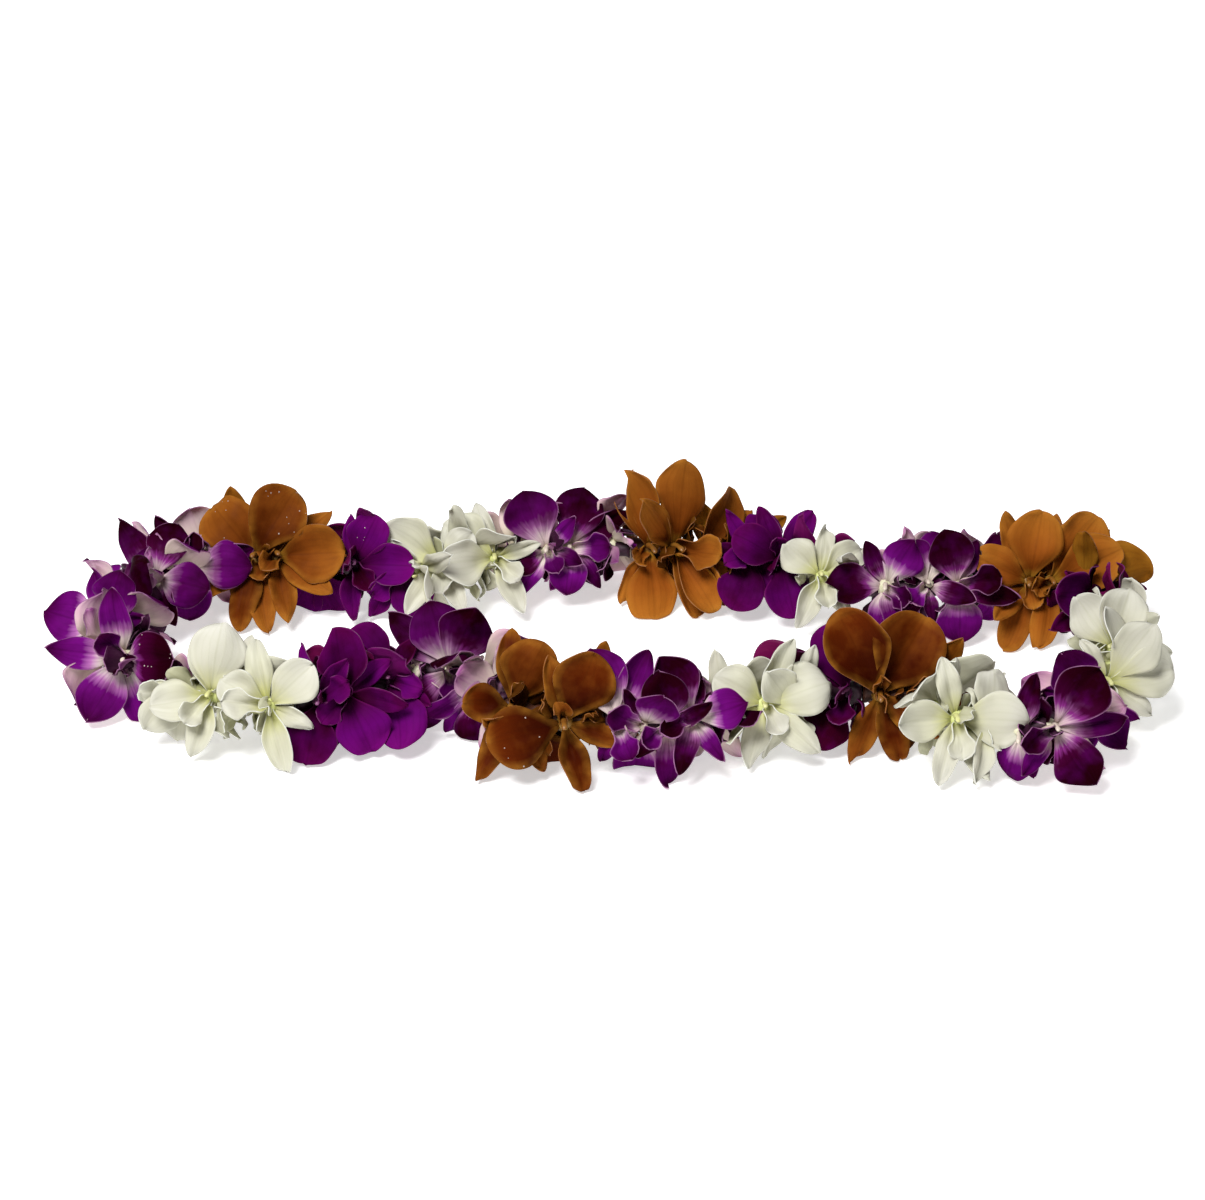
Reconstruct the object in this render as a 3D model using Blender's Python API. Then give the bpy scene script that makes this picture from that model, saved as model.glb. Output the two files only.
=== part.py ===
"""Orchid lei: dendrobium blossoms on one cotton thread, tied into a loop and laid flat as a long oval.

Metres, +Z up. The origin lies on the table under the middle of the loop, +X runs along the oval and
the side that is looked at from the front is -Y. The thread runs clockwise, seen from above, from the
left end along the back. Blossoms of one colour follow each other in sections, and each section is one
solid: its blossoms' throats are fused into a bored core that the thread runs through.
"""

import math
import random

import bmesh
import bpy
from mathutils import Vector
from mathutils.bvhtree import BVHTree

# The thread's centre line on the table, as points of a smooth closed curve, and its height.
ROUTE = [
    (-0.214, -0.009), (-0.199, 0.048), (-0.155, 0.063), (-0.107, 0.057), (-0.069, 0.059),
    (-0.017, 0.073), (0.035, 0.072), (0.081, 0.060), (0.105, 0.042), (0.145, 0.039),
    (0.208, 0.039), (0.219, -0.019), (0.187, -0.071), (0.149, -0.068), (0.116, -0.048),
    (0.075, -0.053), (0.033, -0.068), (-0.027, -0.067), (-0.068, -0.030), (-0.110, -0.048),
    (-0.155, -0.055),
]
STRAND_HEIGHT = 0.0220
ROUTE_STEPS = 24

THREAD_RADIUS = 0.0005
BORE_RADIUS = 0.00095
BORE_SIDES = 5
BORE_OVERRUN = 0.008
CORE_RADIUS = 0.0050
CORE_END_RADIUS = 0.0044
CORE_GAP = 0.0008
CORE_SIDES = 5

# The knot sits on the thread between the first two sections, in a wider gap, with two short tails.
KNOT_DISTANCE = 0.035
KNOT_RADIUS = 0.0016
KNOT_GAP = 0.0040
TAIL_LENGTH = 0.0090

# How far behind a blossom's face its petals start, and how far its face stands off the thread.
ROOT_DEPTH = 0.004
ROOT_OUT = 0.0018
SEPAL_SETBACK = 0.0014
FACE_OFFSET = 0.0065
RIB_STEPS = 16
BLADE_THICKNESS = 0.0010
TABLE_CLEARANCE = 0.0007

# Every petal is kept clear of the others by a blade this thick and this much wider than itself, and of
# the cores by this much. A crossing inside a section counts as much as a bend of this many degrees.
CLEAR_THICKNESS = 0.0020
CLEAR_SPREAD = 1.04
CORE_CLEARANCE = 0.0004
TAIL_CLEARANCE = 0.0012
REACH_MARGIN = 0.008
CROSSING_COST = 120

# The side that the photograph is taken from: blossoms that face it are placed first.
FRONT = Vector((0, -0.85, 0.53))
UP = Vector((0, 0, 1))

# The blossoms in order round the loop, in sections of one colour each, with their size. Each blossom
# gives its place along the thread in millimetres, where it faces, turned from the front (right is plus)
# and lifted from level in degrees, and then either its roll, or its six parts in the order lip, two
# petals and three sepals: direction round the face (0 right, 90 up), lean forward, size and fold across.
SECTIONS = [
    ("bicolor_1", "bicolor", 1.06, [
        (-32, 160, -10, [(270, 20, 0.6), (20, 10, 0.5), (160, 10, 0.5),
            (90, 10, 0.5), (225, 10, 0.6), (315, 10, 0.6)]),
        (-16, 8, 24, [(124, 35), (0, 38, 1.1, 0.4), (237, 5, 1.0, 0.4),
            (168, 4, 1.2), (97, 12, 1.2), (283, 6, 1.2)]),
        (-4, -110, 5, 40),
        (8, -15, 34, [(300, 35), (176, -2, 1.05, 0.4), (80, 25, 0.95, 1.1),
            (118, -8, 0.9), (225, 2, 0.9), (20, 30, 0.8)]),
        (18, 150, 30, 0),
        (28, -60, 40, [(270, 30), (62, 10, 1.0, 0.9), (170, 5, 0.8),
            (110, -5, 1.0), (225, 10, 0.9), (320, 10, 0.9)]),
    ]),
    ("bicolor_2", "bicolor", 1.00, [
        (41, -150, 18, [(270, 40), (15, -8), (165, -8, 0.9), (84, -12, 1.15), (45, -5, 1.1), (300, 10)]),
        (52, -8, 44, [(250, 40), (84, -20, 0.98, 0.7), (350, 20, 1.05, 0.8),
            (300, 15), (132, -12, 1.25), (240, 20)]),
        (62, 160, 20, 0),
        (72, 12, 32, [(80, 30), (356, 22, 1.1, 0.8), (262, 12, 0.95), (8, 10, 1.15), (120, 0), (222, 15)]),
        (84, -160, -15, 60),
    ]),
    ("amber_1", "amber", 1.18, [
        (95, 170, -5, 0),
        (104, -6, 42, [(300, 40, 0.8), (134, 0, 1.02, 0.5), (70, 8, 1.05, 0.4),
            (200, 5), (262, 10, 1.15), (284, 8, 1.15)]),
        (114, 16, 44, [(220, 40, 0.8), (104, 34, 0.9, 1.1), (348, 6, 1.02, 0.5),
            (40, -4), (325, 20, 1.1), (268, 16, 1.1)]),
        (123, 150, -35, 180),
    ]),
    ("violet_1", "violet", 1.00, [
        (134, -10, -6, [(90, 30), (240, 8, 1.0), (300, 12, 1.0), (270, 5), (200, 10, 0.7), (30, 20, 0.8)]),
        (151, 5, 36, [(300, 40), (60, 14, 0.88, 0.5), (8, 8, 1.0, 0.7),
            (92, -8, 0.8), (322, 10), (265, 12)]),
        (160, 160, 25, 0),
        (169, 12, 20, [(200, 30), (285, 10, 0.9), (40, 5, 0.8), (240, 5), (330, 10), (90, 0, 0.7)]),
    ]),
    ("white_1", "white", 1.00, [
        (179, -15, 5, 160),
        (189, -4, 36, [(290, 32), (148, 0, 1.05), (20, 5, 0.9), (168, -14), (240, 12), (300, 18)]),
        (202, 165, 40, 0),
        (213, 2, 32, [(320, 30), (148, -4, 1.0), (188, 30, 1.0, 0.5),
            (108, -4), (298, 10, 1.05), (20, 0, 0.8)]),
    ]),
    ("bicolor_3", "bicolor", 0.98, [
        (226, -170, 0, 0),
        (238, -5, 30, [(300, 40, 0.9), (113, 0, 1.1), (190, 25, 0.95, 0.7),
            (60, 18, 0.8), (235, 18), (340, 30, 0.8)]),
        (249, 5, 28, [(6, 20, 1.25), (81, -4, 1.15), (246, 22, 0.85),
            (30, 10, 1.2), (220, 18, 0.8), (290, 22, 0.9)]),
        (259, -150, 30, 40),
        (269, 150, 20, [(270, 40), (284, -10, 1.05), (100, -10, 0.8), (243, 5, 1.25), (150, -5), (20, 0)]),
    ]),
    ("amber_2", "amber", 1.25, [
        (287, 20, 26, [(200, 40, 0.7), (108, 2, 1.08, 1.2), (262, 10, 1.0, 0.9),
            (90, -6, 1.15), (232, -8, 0.9), (20, 10, 0.9)]),
        (299, 26, 30, [(330, 50, 1.2), (72, 4, 1.1, 1.1), (288, 18, 0.98, 1.1),
            (100, -5, 1.15), (256, 0, 1.1), (318, 25)]),
        (311, 36, 20, [(250, 40, 0.9), (46, 10, 0.95, 1.2), (322, 12, 0.9, 1.1),
            (22, 15), (348, 0), (282, 10)]),
        (320, 170, -35, 180),
    ]),
    ("violet_2", "violet", 1.00, [
        (336, 0, 38, [(200, 40), (80, 0, 0.85, 0.5), (250, 10, 1.0),
            (120, -5, 0.9), (165, 5, 0.8), (300, 10, 0.9)]),
        (350, 4, 36, [(100, 40, 0.8), (150, 22, 0.9, 0.6), (305, 10, 1.04, 0.4),
            (56, -5, 1.15), (95, -5, 1.0), (20, 5, 0.8)]),
        (360, 165, 20, 0),
    ]),
    ("white_2", "white", 0.95, [
        (373, 0, 38, [(280, 32), (35, -4, 0.85), (135, -4, 0.8),
            (80, -8, 0.9), (245, 2, 1.1), (300, 8, 0.9)]),
        (385, 165, 15, 0),
    ]),
    ("bicolor_4", "bicolor", 0.95, [
        (400, -8, 26, [(340, 40), (182, 10, 1.05, 0.5), (66, 0, 0.9), (120, 8, 0.9), (262, 18), (318, 22)]),
        (410, -170, 20, 0),
        (419, -4, 40, [(230, 35), (122, -4, 0.95), (72, 0, 1.0),
            (205, 20, 1.0, 0.5), (340, 20), (270, 30, 0.8)]),
        (432, 2, 26, [(14, 25, 1.3), (101, 8, 0.98), (270, 6, 1.0),
            (205, 8, 0.9), (342, 8, 1.1), (50, 0, 0.9)]),
        (445, 160, 5, 150),
        (455, 10, 30, [(200, 30), (60, 0, 0.9), (300, 15, 0.9), (100, 0), (225, 10), (345, 10, 0.9)]),
    ]),
    ("amber_3", "amber", 1.15, [
        (465, -10, 28, [(300, 40, 0.8), (160, 12, 0.85, 0.6), (92, 5, 0.95),
            (118, 0, 1.0), (275, 10, 1.2), (205, 8, 0.9)]),
        (476, 4, 34, [(200, 40, 0.7), (52, -4, 1.1), (14, 6, 1.1, 0.7),
            (35, 18, 1.25), (82, 5, 0.95), (258, 4, 1.15)]),
        (488, 155, 15, 0),
    ]),
    ("violet_3", "violet", 0.98, [
        (500, 35, 20, [(270, 40), (310, 8, 0.9), (160, 8), (350, 0, 1.15), (100, -8, 0.7), (200, 0)]),
        (514, 110, 20, 0),
    ]),
    ("white_3", "white", 1.00, [
        (531, 120, 15, 90),
        (545, -24, 38, [(240, 40), (140, 0, 0.95), (84, 5, 0.95),
            (112, 5, 0.95), (10, 10, 1.0), (300, 18)]),
        (557, 60, 20, [(240, 30), (340, 0, 1.0), (70, -8), (290, 5), (20, -8), (200, 15, 0.8)]),
        (571, 4, 30, [(215, 35), (50, 2, 1.08, 0.4), (8, -2, 1.15, 0.4),
            (120, 5, 0.8), (30, -8, 1.2), (330, 0, 1.0)]),
    ]),
    ("bicolor_5", "bicolor", 0.95, [
        (588, 12, 28, [(225, 40), (118, 8, 1.0), (296, 8, 0.85, 0.5),
            (158, 12, 0.9), (335, 8, 0.8), (258, 6, 1.0)]),
        (600, 150, -15, 0),
        (612, 6, 28, [(200, 30, 1.2), (54, 4, 1.1, 0.4), (302, 8, 1.0),
            (4, 5, 1.2), (150, 8, 0.9), (235, 8)]),
        (624, -12, 8, [(190, 30, 1.3), (216, 14, 0.9), (262, 16, 0.8),
            (180, 4, 0.9), (80, 8), (300, 18, 0.8)]),
    ]),
    ("white_4", "white", 1.00, [
        (636, 25, 30, [(270, 40), (62, -4, 0.85), (325, 5, 0.8), (5, 0, 1.2), (120, -4, 0.8), (240, 5)]),
        (649, 0, 30, [(275, 30, 1.1), (0, 10, 1.05, 0.5), (180, 10, 0.92),
            (102, 8, 0.98), (252, 8, 1.1), (296, 5, 1.05)]),
        (662, -170, 15, 0),
    ]),
    ("amber_4", "amber", 1.22, [
        (673, 170, 10, 180),
        (686, 0, 26, [(92, 48, 0.6), (116, 14, 1.22, 1.4), (60, 3, 1.2, 0.4),
            (246, 8), (322, 20, 0.98, 0.8), (278, 5, 1.1)]),
    ]),
    ("violet_4", "violet", 1.00, [
        (702, -20, 34, [(280, 35), (112, 4, 1.05), (258, 8, 1.0),
            (150, 5, 0.9), (225, 8, 1.0), (200, 8, 0.9)]),
        (713, 175, 20, 0),
    ]),
    ("white_5", "white", 0.97, [
        (725, 28, 0, [(270, 40), (290, 8, 0.8), (120, -8, 0.8), (320, 0, 1.1), (60, -8), (200, 10)]),
        (739, 0, 30, [(300, 32), (22, 8, 1.1, 0.6), (150, 10, 0.88),
            (70, 5, 1.12), (255, 10, 1.1), (320, 16, 1.2)]),
        (752, -175, 15, 0),
    ]),
    ("bicolor_6", "bicolor", 1.00, [
        (761, 170, -20, 0),
        (770, 8, 38, [(200, 35), (118, 4, 1.0, 0.5), (12, 5, 0.78, 0.4),
            (80, 5, 0.8), (250, 15), (300, 18, 0.8)]),
        (780, 6, 12, [(200, 30, 0.9), (338, 8, 0.85, 0.4), (100, 10, 0.9),
            (285, 8, 1.1), (30, 18, 0.8), (220, 10, 0.8)]),
        (790, 0, 10, [(170, 35, 1.0), (62, 12, 0.9), (260, 2, 1.1, 0.3),
            (315, 8, 1.05), (195, 12, 1.05), (140, 18, 0.8)]),
        (801, -4, 38, [(280, 28, 1.2), (112, 0, 1.1, 0.5), (210, 20, 0.8),
            (77, 5, 1.3), (20, 10, 0.7), (250, 20, 0.7)]),
    ]),
    ("amber_5", "amber", 1.15, [
        (811, 170, 15, 0),
        (822, 4, 27, [(100, 45, 0.6), (66, 10, 1.02, 0.3), (192, 8, 1.05, 0.3),
            (338, 12, 0.92, 0.8), (286, 8), (100, 0, 0.9)]),
        (833, 0, -12, [(270, 30, 0.7), (238, 4, 0.95), (290, 8, 0.9),
            (256, 0, 1.2), (310, 0, 1.0), (180, 20, 0.8)]),
        (844, -4, 36, [(300, 40, 0.7), (176, 4, 0.62, 0.3), (66, 8, 0.9),
            (92, 0, 1.1), (250, 5, 1.15), (282, 8)]),
    ]),
    ("bicolor_7", "bicolor", 1.00, [
        (856, 175, -20, 0),
        (866, 8, 8, [(300, 30), (266, 8, 1.0), (350, 15, 0.8),
            (235, 5, 1.0), (200, 10, 1.0), (20, 15, 0.8)]),
        (875, 170, 35, 0),
        (885, 2, 34, [(285, 35), (106, 6, 1.05, 0.5), (68, 10, 1.05, 0.5),
            (138, 16, 1.3), (10, 20, 0.9), (222, 12, 1.25)]),
        (903, -10, 16, [(320, 30), (172, 10, 0.95), (268, 6, 1.0),
            (232, 4, 1.2), (305, 14), (100, 8, 0.9)]),
    ]),
    ("violet_5", "violet", 1.00, [
        (917, -4, 40, [(340, 35), (130, 8, 1.0), (285, 8, 1.05),
            (60, 0, 0.8), (200, 14, 0.9), (330, 18, 0.8)]),
        (927, 170, 20, 0),
        (936, 2, 30, [(230, 30), (100, 10, 1.1, 0.5), (292, 8, 1.0), (40, 8, 0.9), (250, 10), (350, 10)]),
        (948, -5, 24, [(30, 30), (176, 10, 0.85, 0.4), (262, 6, 1.05, 0.4),
            (115, 28, 1.2, 1.6), (60, 18, 0.9), (222, 8, 0.9)]),
    ]),
    ("white_6", "white", 1.00, [
        (968, 0, 32, [(172, 25, 1.2), (42, 8, 0.88), (150, 14, 0.8),
            (100, 0, 1.15), (282, -4, 1.2), (325, 5, 0.8)]),
        (981, 175, 20, 0),
        (992, -4, 36, [(230, 30), (80, 5, 1.12), (212, 10, 0.88), (110, 0), (315, 10, 0.9), (256, 5, 1.1)]),
        (1007, -10, 14, [(180, 30), (268, 10, 0.85), (232, 14, 0.75),
            (290, 4, 1.05), (180, 0, 0.6), (330, 10, 0.8)]),
    ]),
]

# A blossom's parts: direction round its face (0 right, 90 up), length, half width, where along it is
# widest, how blunt its tip is (0.5 round, 1 pointed), lean forward near the root and at the tip in
# degrees, and how far it is rolled across, in radians.
LIP = ("lip", -90, 0.0170, 0.0062, 0.60, 0.7, 62, 20, 1.00)
PETALS = [
    ("petal_right", 22, 0.0290, 0.0114, 0.60, 0.55, 42, -6, 0.35),
    ("petal_left", 158, 0.0290, 0.0114, 0.60, 0.55, 42, -6, 0.35),
]
SEPALS = [
    ("sepal_top", 90, 0.0275, 0.0054, 0.50, 0.7, 30, 4, 0.40),
    ("sepal_left", 230, 0.0275, 0.0054, 0.46, 0.7, 30, 0, 0.40),
    ("sepal_right", 310, 0.0275, 0.0054, 0.46, 0.7, 30, 0, 0.40),
]
ORGANS = [LIP] + PETALS + SEPALS
PLAIN_ORGANS = PETALS + SEPALS[:1]
POSED_CURVE = 18
POSED_CALM = 0.4
PETAL_TIPS = {"bicolor": 0.86, "violet": 0.52, "white": 0.62, "amber": 0.54}
PETAL_ROWS = [0.28, 0.56, 0.84]
SEPAL_ROWS = [0.34, 0.70]
LIP_ROWS = [0.60]

COLORS = {
    "amber": (0.30, 0.10, 0.012),
    "bicolor": (0.10, 0.006, 0.16),
    "violet": (0.085, 0.005, 0.12),
    "white": (0.78, 0.78, 0.70),
    "thread": (0.80, 0.79, 0.74),
}


def smooth_route():
    """The centre line as short straight steps round the loop, with the distance to each point."""
    points = []
    count = len(ROUTE)
    for i in range(count):
        p0, p1, p2, p3 = (Vector((*ROUTE[(i + k) % count], STRAND_HEIGHT)) for k in (-1, 0, 1, 2))
        for step in range(ROUTE_STEPS):
            t = step / ROUTE_STEPS
            bend = (2 * p0 - 5 * p1 + 4 * p2 - p3) * t * t + (3 * p1 - p0 - 3 * p2 + p3) * t * t * t
            points.append((2 * p1 + (p2 - p0) * t + bend) / 2)
    distances = [0.0]
    for i, point in enumerate(points):
        distances.append(distances[-1] + (points[(i + 1) % len(points)] - point).length)
    return points, distances


ROUTE_POINTS, ROUTE_DISTANCES = smooth_route()
LENGTH = ROUTE_DISTANCES[-1]


def along(distance):
    """The point at this distance along the thread, and the thread's direction there."""
    distance %= LENGTH
    low, high = 0, len(ROUTE_POINTS)
    while high - low > 1:
        middle = (low + high) // 2
        if ROUTE_DISTANCES[middle] <= distance:
            low = middle
        else:
            high = middle
    a = ROUTE_POINTS[low]
    b = ROUTE_POINTS[(low + 1) % len(ROUTE_POINTS)]
    share = (distance - ROUTE_DISTANCES[low]) / (ROUTE_DISTANCES[low + 1] - ROUTE_DISTANCES[low])
    return a.lerp(b, share), (b - a).normalized()


def section_ends():
    """Each section's first and last point along the thread: midway between its end blossoms and the next."""
    first = [section[3][0][0] / 1000 for section in SECTIONS]
    last = [section[3][-1][0] / 1000 for section in SECTIONS]
    bounds = [(last[i - 1] + first[i]) / 2 for i in range(1, len(SECTIONS))]
    bounds.insert(0, (last[-1] - LENGTH + first[0]) / 2)
    return list(zip(bounds, bounds[1:] + [bounds[0] + LENGTH]))


def places(section):
    """The distances of a section's blossoms along the thread."""
    return [blossom[0] / 1000 for blossom in SECTIONS[section][3]]


def thread_stops():
    """Distances of the thread's points: one between every two blossoms, and so at each section's ends."""
    stops = []
    for section, (start, _) in enumerate(section_ends()):
        here = places(section)
        stops += [start] + [(a + b) / 2 for a, b in zip(here, here[1:])]
    return stops


STOPS = thread_stops()


def on_thread(distance):
    """The point at this distance on the straight runs between the thread's points, and the direction."""
    stops = [STOPS[-1] - LENGTH] + STOPS + [STOPS[0] + LENGTH, STOPS[1] + LENGTH]
    for a, b in zip(stops, stops[1:]):
        if a <= distance < b:
            first, last = along(a)[0], along(b)[0]
            return first.lerp(last, (distance - a) / (b - a)), along(distance)[1]


def make_blossoms():
    """All blossoms in order along the thread, each as a dictionary with its place and its own frame."""
    blossoms = []
    for section, (_, kind, size, facings) in enumerate(SECTIONS):
        for millimetres, turn, lift, posed in facings:
            distance = millimetres / 1000
            point, tangent = along(distance)
            poses = posed if isinstance(posed, list) else None
            roll = 0.0 if poses else math.radians(posed)
            turn, lift = math.radians(turn), math.radians(lift)
            facing = Vector((
                math.sin(turn) * math.cos(lift),
                -math.cos(turn) * math.cos(lift),
                math.sin(lift),
            ))
            across = facing - tangent * facing.dot(tangent)
            upright = (UP - facing * facing.z).normalized()
            right = upright.cross(facing)
            blossoms.append({
                "section": section,
                "kind": kind,
                "size": size,
                "poses": poses,
                "centre": point + across * FACE_OFFSET,
                "facing": facing,
                "up": upright * math.cos(roll) + right * math.sin(roll),
                "right": right * math.cos(roll) - upright * math.sin(roll),
                "random": random.Random(1000 + len(blossoms)),
            })
    return blossoms


def petal_shape(blossom, organ):
    """The part's measures on this blossom, with the small differences that grown petals have."""
    name, angle, length, half_width, widest, blunt, lean, tip_lean, roll = organ
    calm, size = 1.0, blossom["size"]
    if blossom["poses"]:
        pose = blossom["poses"][ORGANS.index(organ)]
        angle, lean, scale, roll = (*pose, *(1.0, roll)[len(pose) - 2:])
        lean, tip_lean, size, calm = lean + POSED_CURVE, lean - POSED_CURVE, size * scale, POSED_CALM
    vary = blossom["random"].uniform
    return {
        "name": name,
        "angle": angle + calm * vary(-7, 7),
        "length": length * size * vary(0.93, 1.05),
        "half_width": half_width * size * vary(0.92, 1.06),
        "widest": widest,
        "blunt": PETAL_TIPS[blossom["kind"]] if organ in PETALS else blunt,
        "lean": lean + calm * vary(-8, 8),
        "tip_lean": tip_lean + calm * vary(-16, 16),
        "roll": roll * vary(0.6, 1.4),
        "twist": vary(-0.30, 0.30),
        "wave": vary(0.0004, 0.0014),
        "phase": vary(0, 6.28),
    }


def rib_line(shape):
    """Points along the petal's rib: distance out, distance forward and lean, from root to tip."""
    out, forward = ROOT_OUT, -ROOT_DEPTH
    if shape["name"].startswith("sepal"):
        forward -= SEPAL_SETBACK
    step = shape["length"] / RIB_STEPS
    line = []
    for i in range(RIB_STEPS + 1):
        v = i / RIB_STEPS
        start = max(0.0, 1 - v / 0.16) ** 2 * (80 - shape["lean"])
        lean = math.radians(shape["lean"] + (shape["tip_lean"] - shape["lean"]) * v + start)
        line.append((out, forward, lean))
        out += step * math.cos(lean)
        forward += step * math.sin(lean)
    return line


def half_width(shape, v):
    """Half the petal's width at v: a narrow claw, a swelling and a round or pointed tip."""
    claw = 0.10 if shape["name"].startswith("petal") else 0.16
    widest = shape["widest"]
    if v < widest:
        return shape["half_width"] * (claw + (1 - claw) * math.sin(math.pi / 2 * v / widest) ** 2.0)
    over = (v - widest) / (1 - widest)
    return shape["half_width"] * max(0.0, 1 - over * over) ** shape["blunt"]


def petal_point(blossom, shape, line, u, v, off=0.0):
    """A point of the petal's surface: v runs from root to tip and u from edge to edge, -1 to 1."""
    place = v * RIB_STEPS
    low = min(int(place), RIB_STEPS - 1)
    out, forward, lean = (a + (b - a) * (place - low) for a, b in zip(line[low], line[low + 1]))
    angle = math.radians(shape["angle"])
    outward = blossom["right"] * math.cos(angle) + blossom["up"] * math.sin(angle)
    facing = blossom["facing"]
    side = outward.cross(facing)
    normal = facing * math.cos(lean) - outward * math.sin(lean)
    twist = shape["twist"] * v
    turned_side = side * math.cos(twist) + normal * math.sin(twist)
    normal = normal * math.cos(twist) - side * math.sin(twist)
    width = half_width(shape, v)
    roll = shape["roll"]
    x = width * math.sin(roll * u) / roll
    height = width * (1 - math.cos(roll * u)) / roll
    height += shape["wave"] * math.sin(9 * v + shape["phase"] + (1.4 if u > 0 else 0)) * abs(u) ** 3 * v
    return blossom["centre"] + outward * out + facing * forward + turned_side * x + normal * (height + off)


def blade(blossom, shape, rows, thickness, spread=1.0):
    """The petal as a thin closed blade, thickest along its rib: its points and its triangles."""
    line = rib_line(shape)

    def rim(u, v):
        point = petal_point(blossom, shape, line, u, v)
        point.z = max(point.z, 0.0)
        return point

    points = [rim(0, 0)]
    for v in rows:
        points.append(rim(-spread, v))
        points.append(rim(spread, v))
        top = petal_point(blossom, shape, line, 0, v, thickness / 2)
        under = petal_point(blossom, shape, line, 0, v, -thickness / 2)
        low, high = (top, under) if top.z < under.z else (under, top)
        low.z = max(low.z, 0.0)
        high.z = max(high.z, TABLE_CLEARANCE)
        points += [top, under]
    points.append(rim(0, 1))
    triangles = []
    for i in range(len(rows) + 1):
        for middle, flip in ((3, False), (4, True)):
            a, b = 4 * i - 4, 4 * i
            if i == 0:
                strip = [(0, b + middle, b + 1), (0, b + 2, b + middle)]
            elif i == len(rows):
                strip = [(a + 1, a + middle, b + 1), (a + middle, a + 2, b + 1)]
            else:
                strip = [
                    (a + 1, a + middle, b + middle),
                    (a + 1, b + middle, b + 1),
                    (a + middle, a + 2, b + middle),
                    (a + 2, b + 2, b + middle),
                ]
            triangles += [tuple(reversed(t)) for t in strip] if flip else strip
    return points, triangles


def bends():
    """Ways to bend a petal clear of its neighbours, from the least to the most: lean, angle, size, cost."""
    found = []
    for lean in (0, 9, -9, 18, -18, 28, -28, 40, -40, 55, -55):
        for turn in (0, 8, -8, 16, -16, 26, -26):
            for size in (1.0, 0.88, 0.76, 0.64):
                cost = abs(lean) + abs(turn) + 140 * (1 - size)
                found.append((cost, lean, turn, size))
    return sorted(found)


BENDS = bends()


def bent(shape, lean, turn, size):
    shape = dict(shape)
    shape["lean"] += lean * 0.5
    shape["tip_lean"] += lean
    shape["angle"] += turn
    shape["length"] *= size
    shape["half_width"] *= size
    return shape


def box_of(points):
    low = [min(p[k] for p in points) for k in range(3)]
    high = [max(p[k] for p in points) for k in range(3)]
    return low, high


def boxes_meet(a, b):
    return all(a[0][k] < b[1][k] and b[0][k] < a[1][k] for k in range(3))


class Obstacle:
    """A placed solid that later petals must stay clear of."""

    def __init__(self, section, points, triangles):
        self.section = section
        self.box = box_of(points)
        self.tree = BVHTree.FromPolygons(points, triangles)


def place_petals(blossoms, obstacles):
    """Bends every petal clear of the other sections and, where it can, of its own section's petals.
    Blossoms seen from behind, which the photograph hides, have no lip and no side sepals here."""
    for blossom in sorted(blossoms, key=lambda b: -b["facing"].dot(FRONT) - b["size"]):
        blossom["petals"] = []
        for organ in ORGANS if blossom["poses"] else PLAIN_ORGANS:
            place_petal(blossom, organ, obstacles)


def place_petal(blossom, organ, obstacles):
    posed = blossom["poses"] is not None
    rows = LIP_ROWS if organ is LIP else PETAL_ROWS if organ in PETALS and posed else SEPAL_ROWS
    shape = petal_shape(blossom, organ)
    reach = Vector((1, 1, 1)) * (shape["length"] + REACH_MARGIN)
    near = box_of([blossom["centre"] - reach, blossom["centre"] + reach])
    others = [o for o in obstacles if boxes_meet(near, o.box)]
    best = None
    for cost, lean, turn, size in BENDS:
        if best and cost >= best[0]:
            break
        tried = bent(shape, lean, turn, size)
        points, triangles = blade(blossom, tried, rows, CLEAR_THICKNESS, CLEAR_SPREAD)
        box = box_of(points)
        tree = BVHTree.FromPolygons(points, triangles)
        crossings = 0
        for other in others:
            if not boxes_meet(box, other.box) or not tree.overlap(other.tree):
                continue
            if other.section != blossom["section"]:
                crossings = None
                break
            crossings += 1
        if crossings is None:
            continue
        if best is None or cost + CROSSING_COST * crossings < best[0]:
            best = (cost + CROSSING_COST * crossings, tried)
    if best:
        points, triangles = blade(blossom, best[1], rows, BLADE_THICKNESS)
        blossom["petals"].append((best[1]["name"], points, triangles))
        obstacles.append(Obstacle(blossom["section"], points, triangles))


def tube(rings, sides, path=along):
    """A tube round the thread through (distance, radius) rings, closed at both ends."""
    points = []
    for distance, radius in rings:
        centre, tangent = path(distance)
        across = tangent.cross(UP).normalized()
        for k in range(sides):
            angle = 2 * math.pi * k / sides
            points.append(centre + across * math.cos(angle) * radius + UP * math.sin(angle) * radius)
    points += [path(rings[0][0])[0], path(rings[-1][0])[0]]
    triangles = []
    for i in range(len(rings) - 1):
        for k in range(sides):
            a, b = i * sides + k, i * sides + (k + 1) % sides
            triangles += [(a, b, a + sides), (b, b + sides, a + sides)]
    for k in range(sides):
        triangles.append((len(points) - 2, (k + 1) % sides, k))
        ring = (len(rings) - 1) * sides
        triangles.append((len(points) - 1, ring + k, ring + (k + 1) % sides))
    return points, triangles


def core_rings(section, extra=0.0):
    """The core's rings: one between every two blossoms, and a narrower one at each end."""
    start, end = section_ends()[section]
    here = places(section)
    gap = [KNOT_GAP if section == side else CORE_GAP for side in (1, 0)]
    between = [((a + b) / 2, CORE_RADIUS + extra) for a, b in zip(here, here[1:])]
    first = (start + gap[0] / 2, CORE_END_RADIUS + extra)
    last = (end - gap[1] / 2, CORE_END_RADIUS + extra)
    return [first] + between + [last]


def mesh_object(name, points, triangles, collection):
    mesh = bpy.data.meshes.new(name)
    mesh.from_pydata([tuple(p) for p in points], [], triangles)
    obj = bpy.data.objects.new(name, mesh)
    collection.objects.link(obj)
    work = bmesh.new()
    work.from_mesh(mesh)
    bmesh.ops.recalc_face_normals(work, faces=work.faces)
    work.to_mesh(mesh)
    work.free()
    return obj


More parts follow.
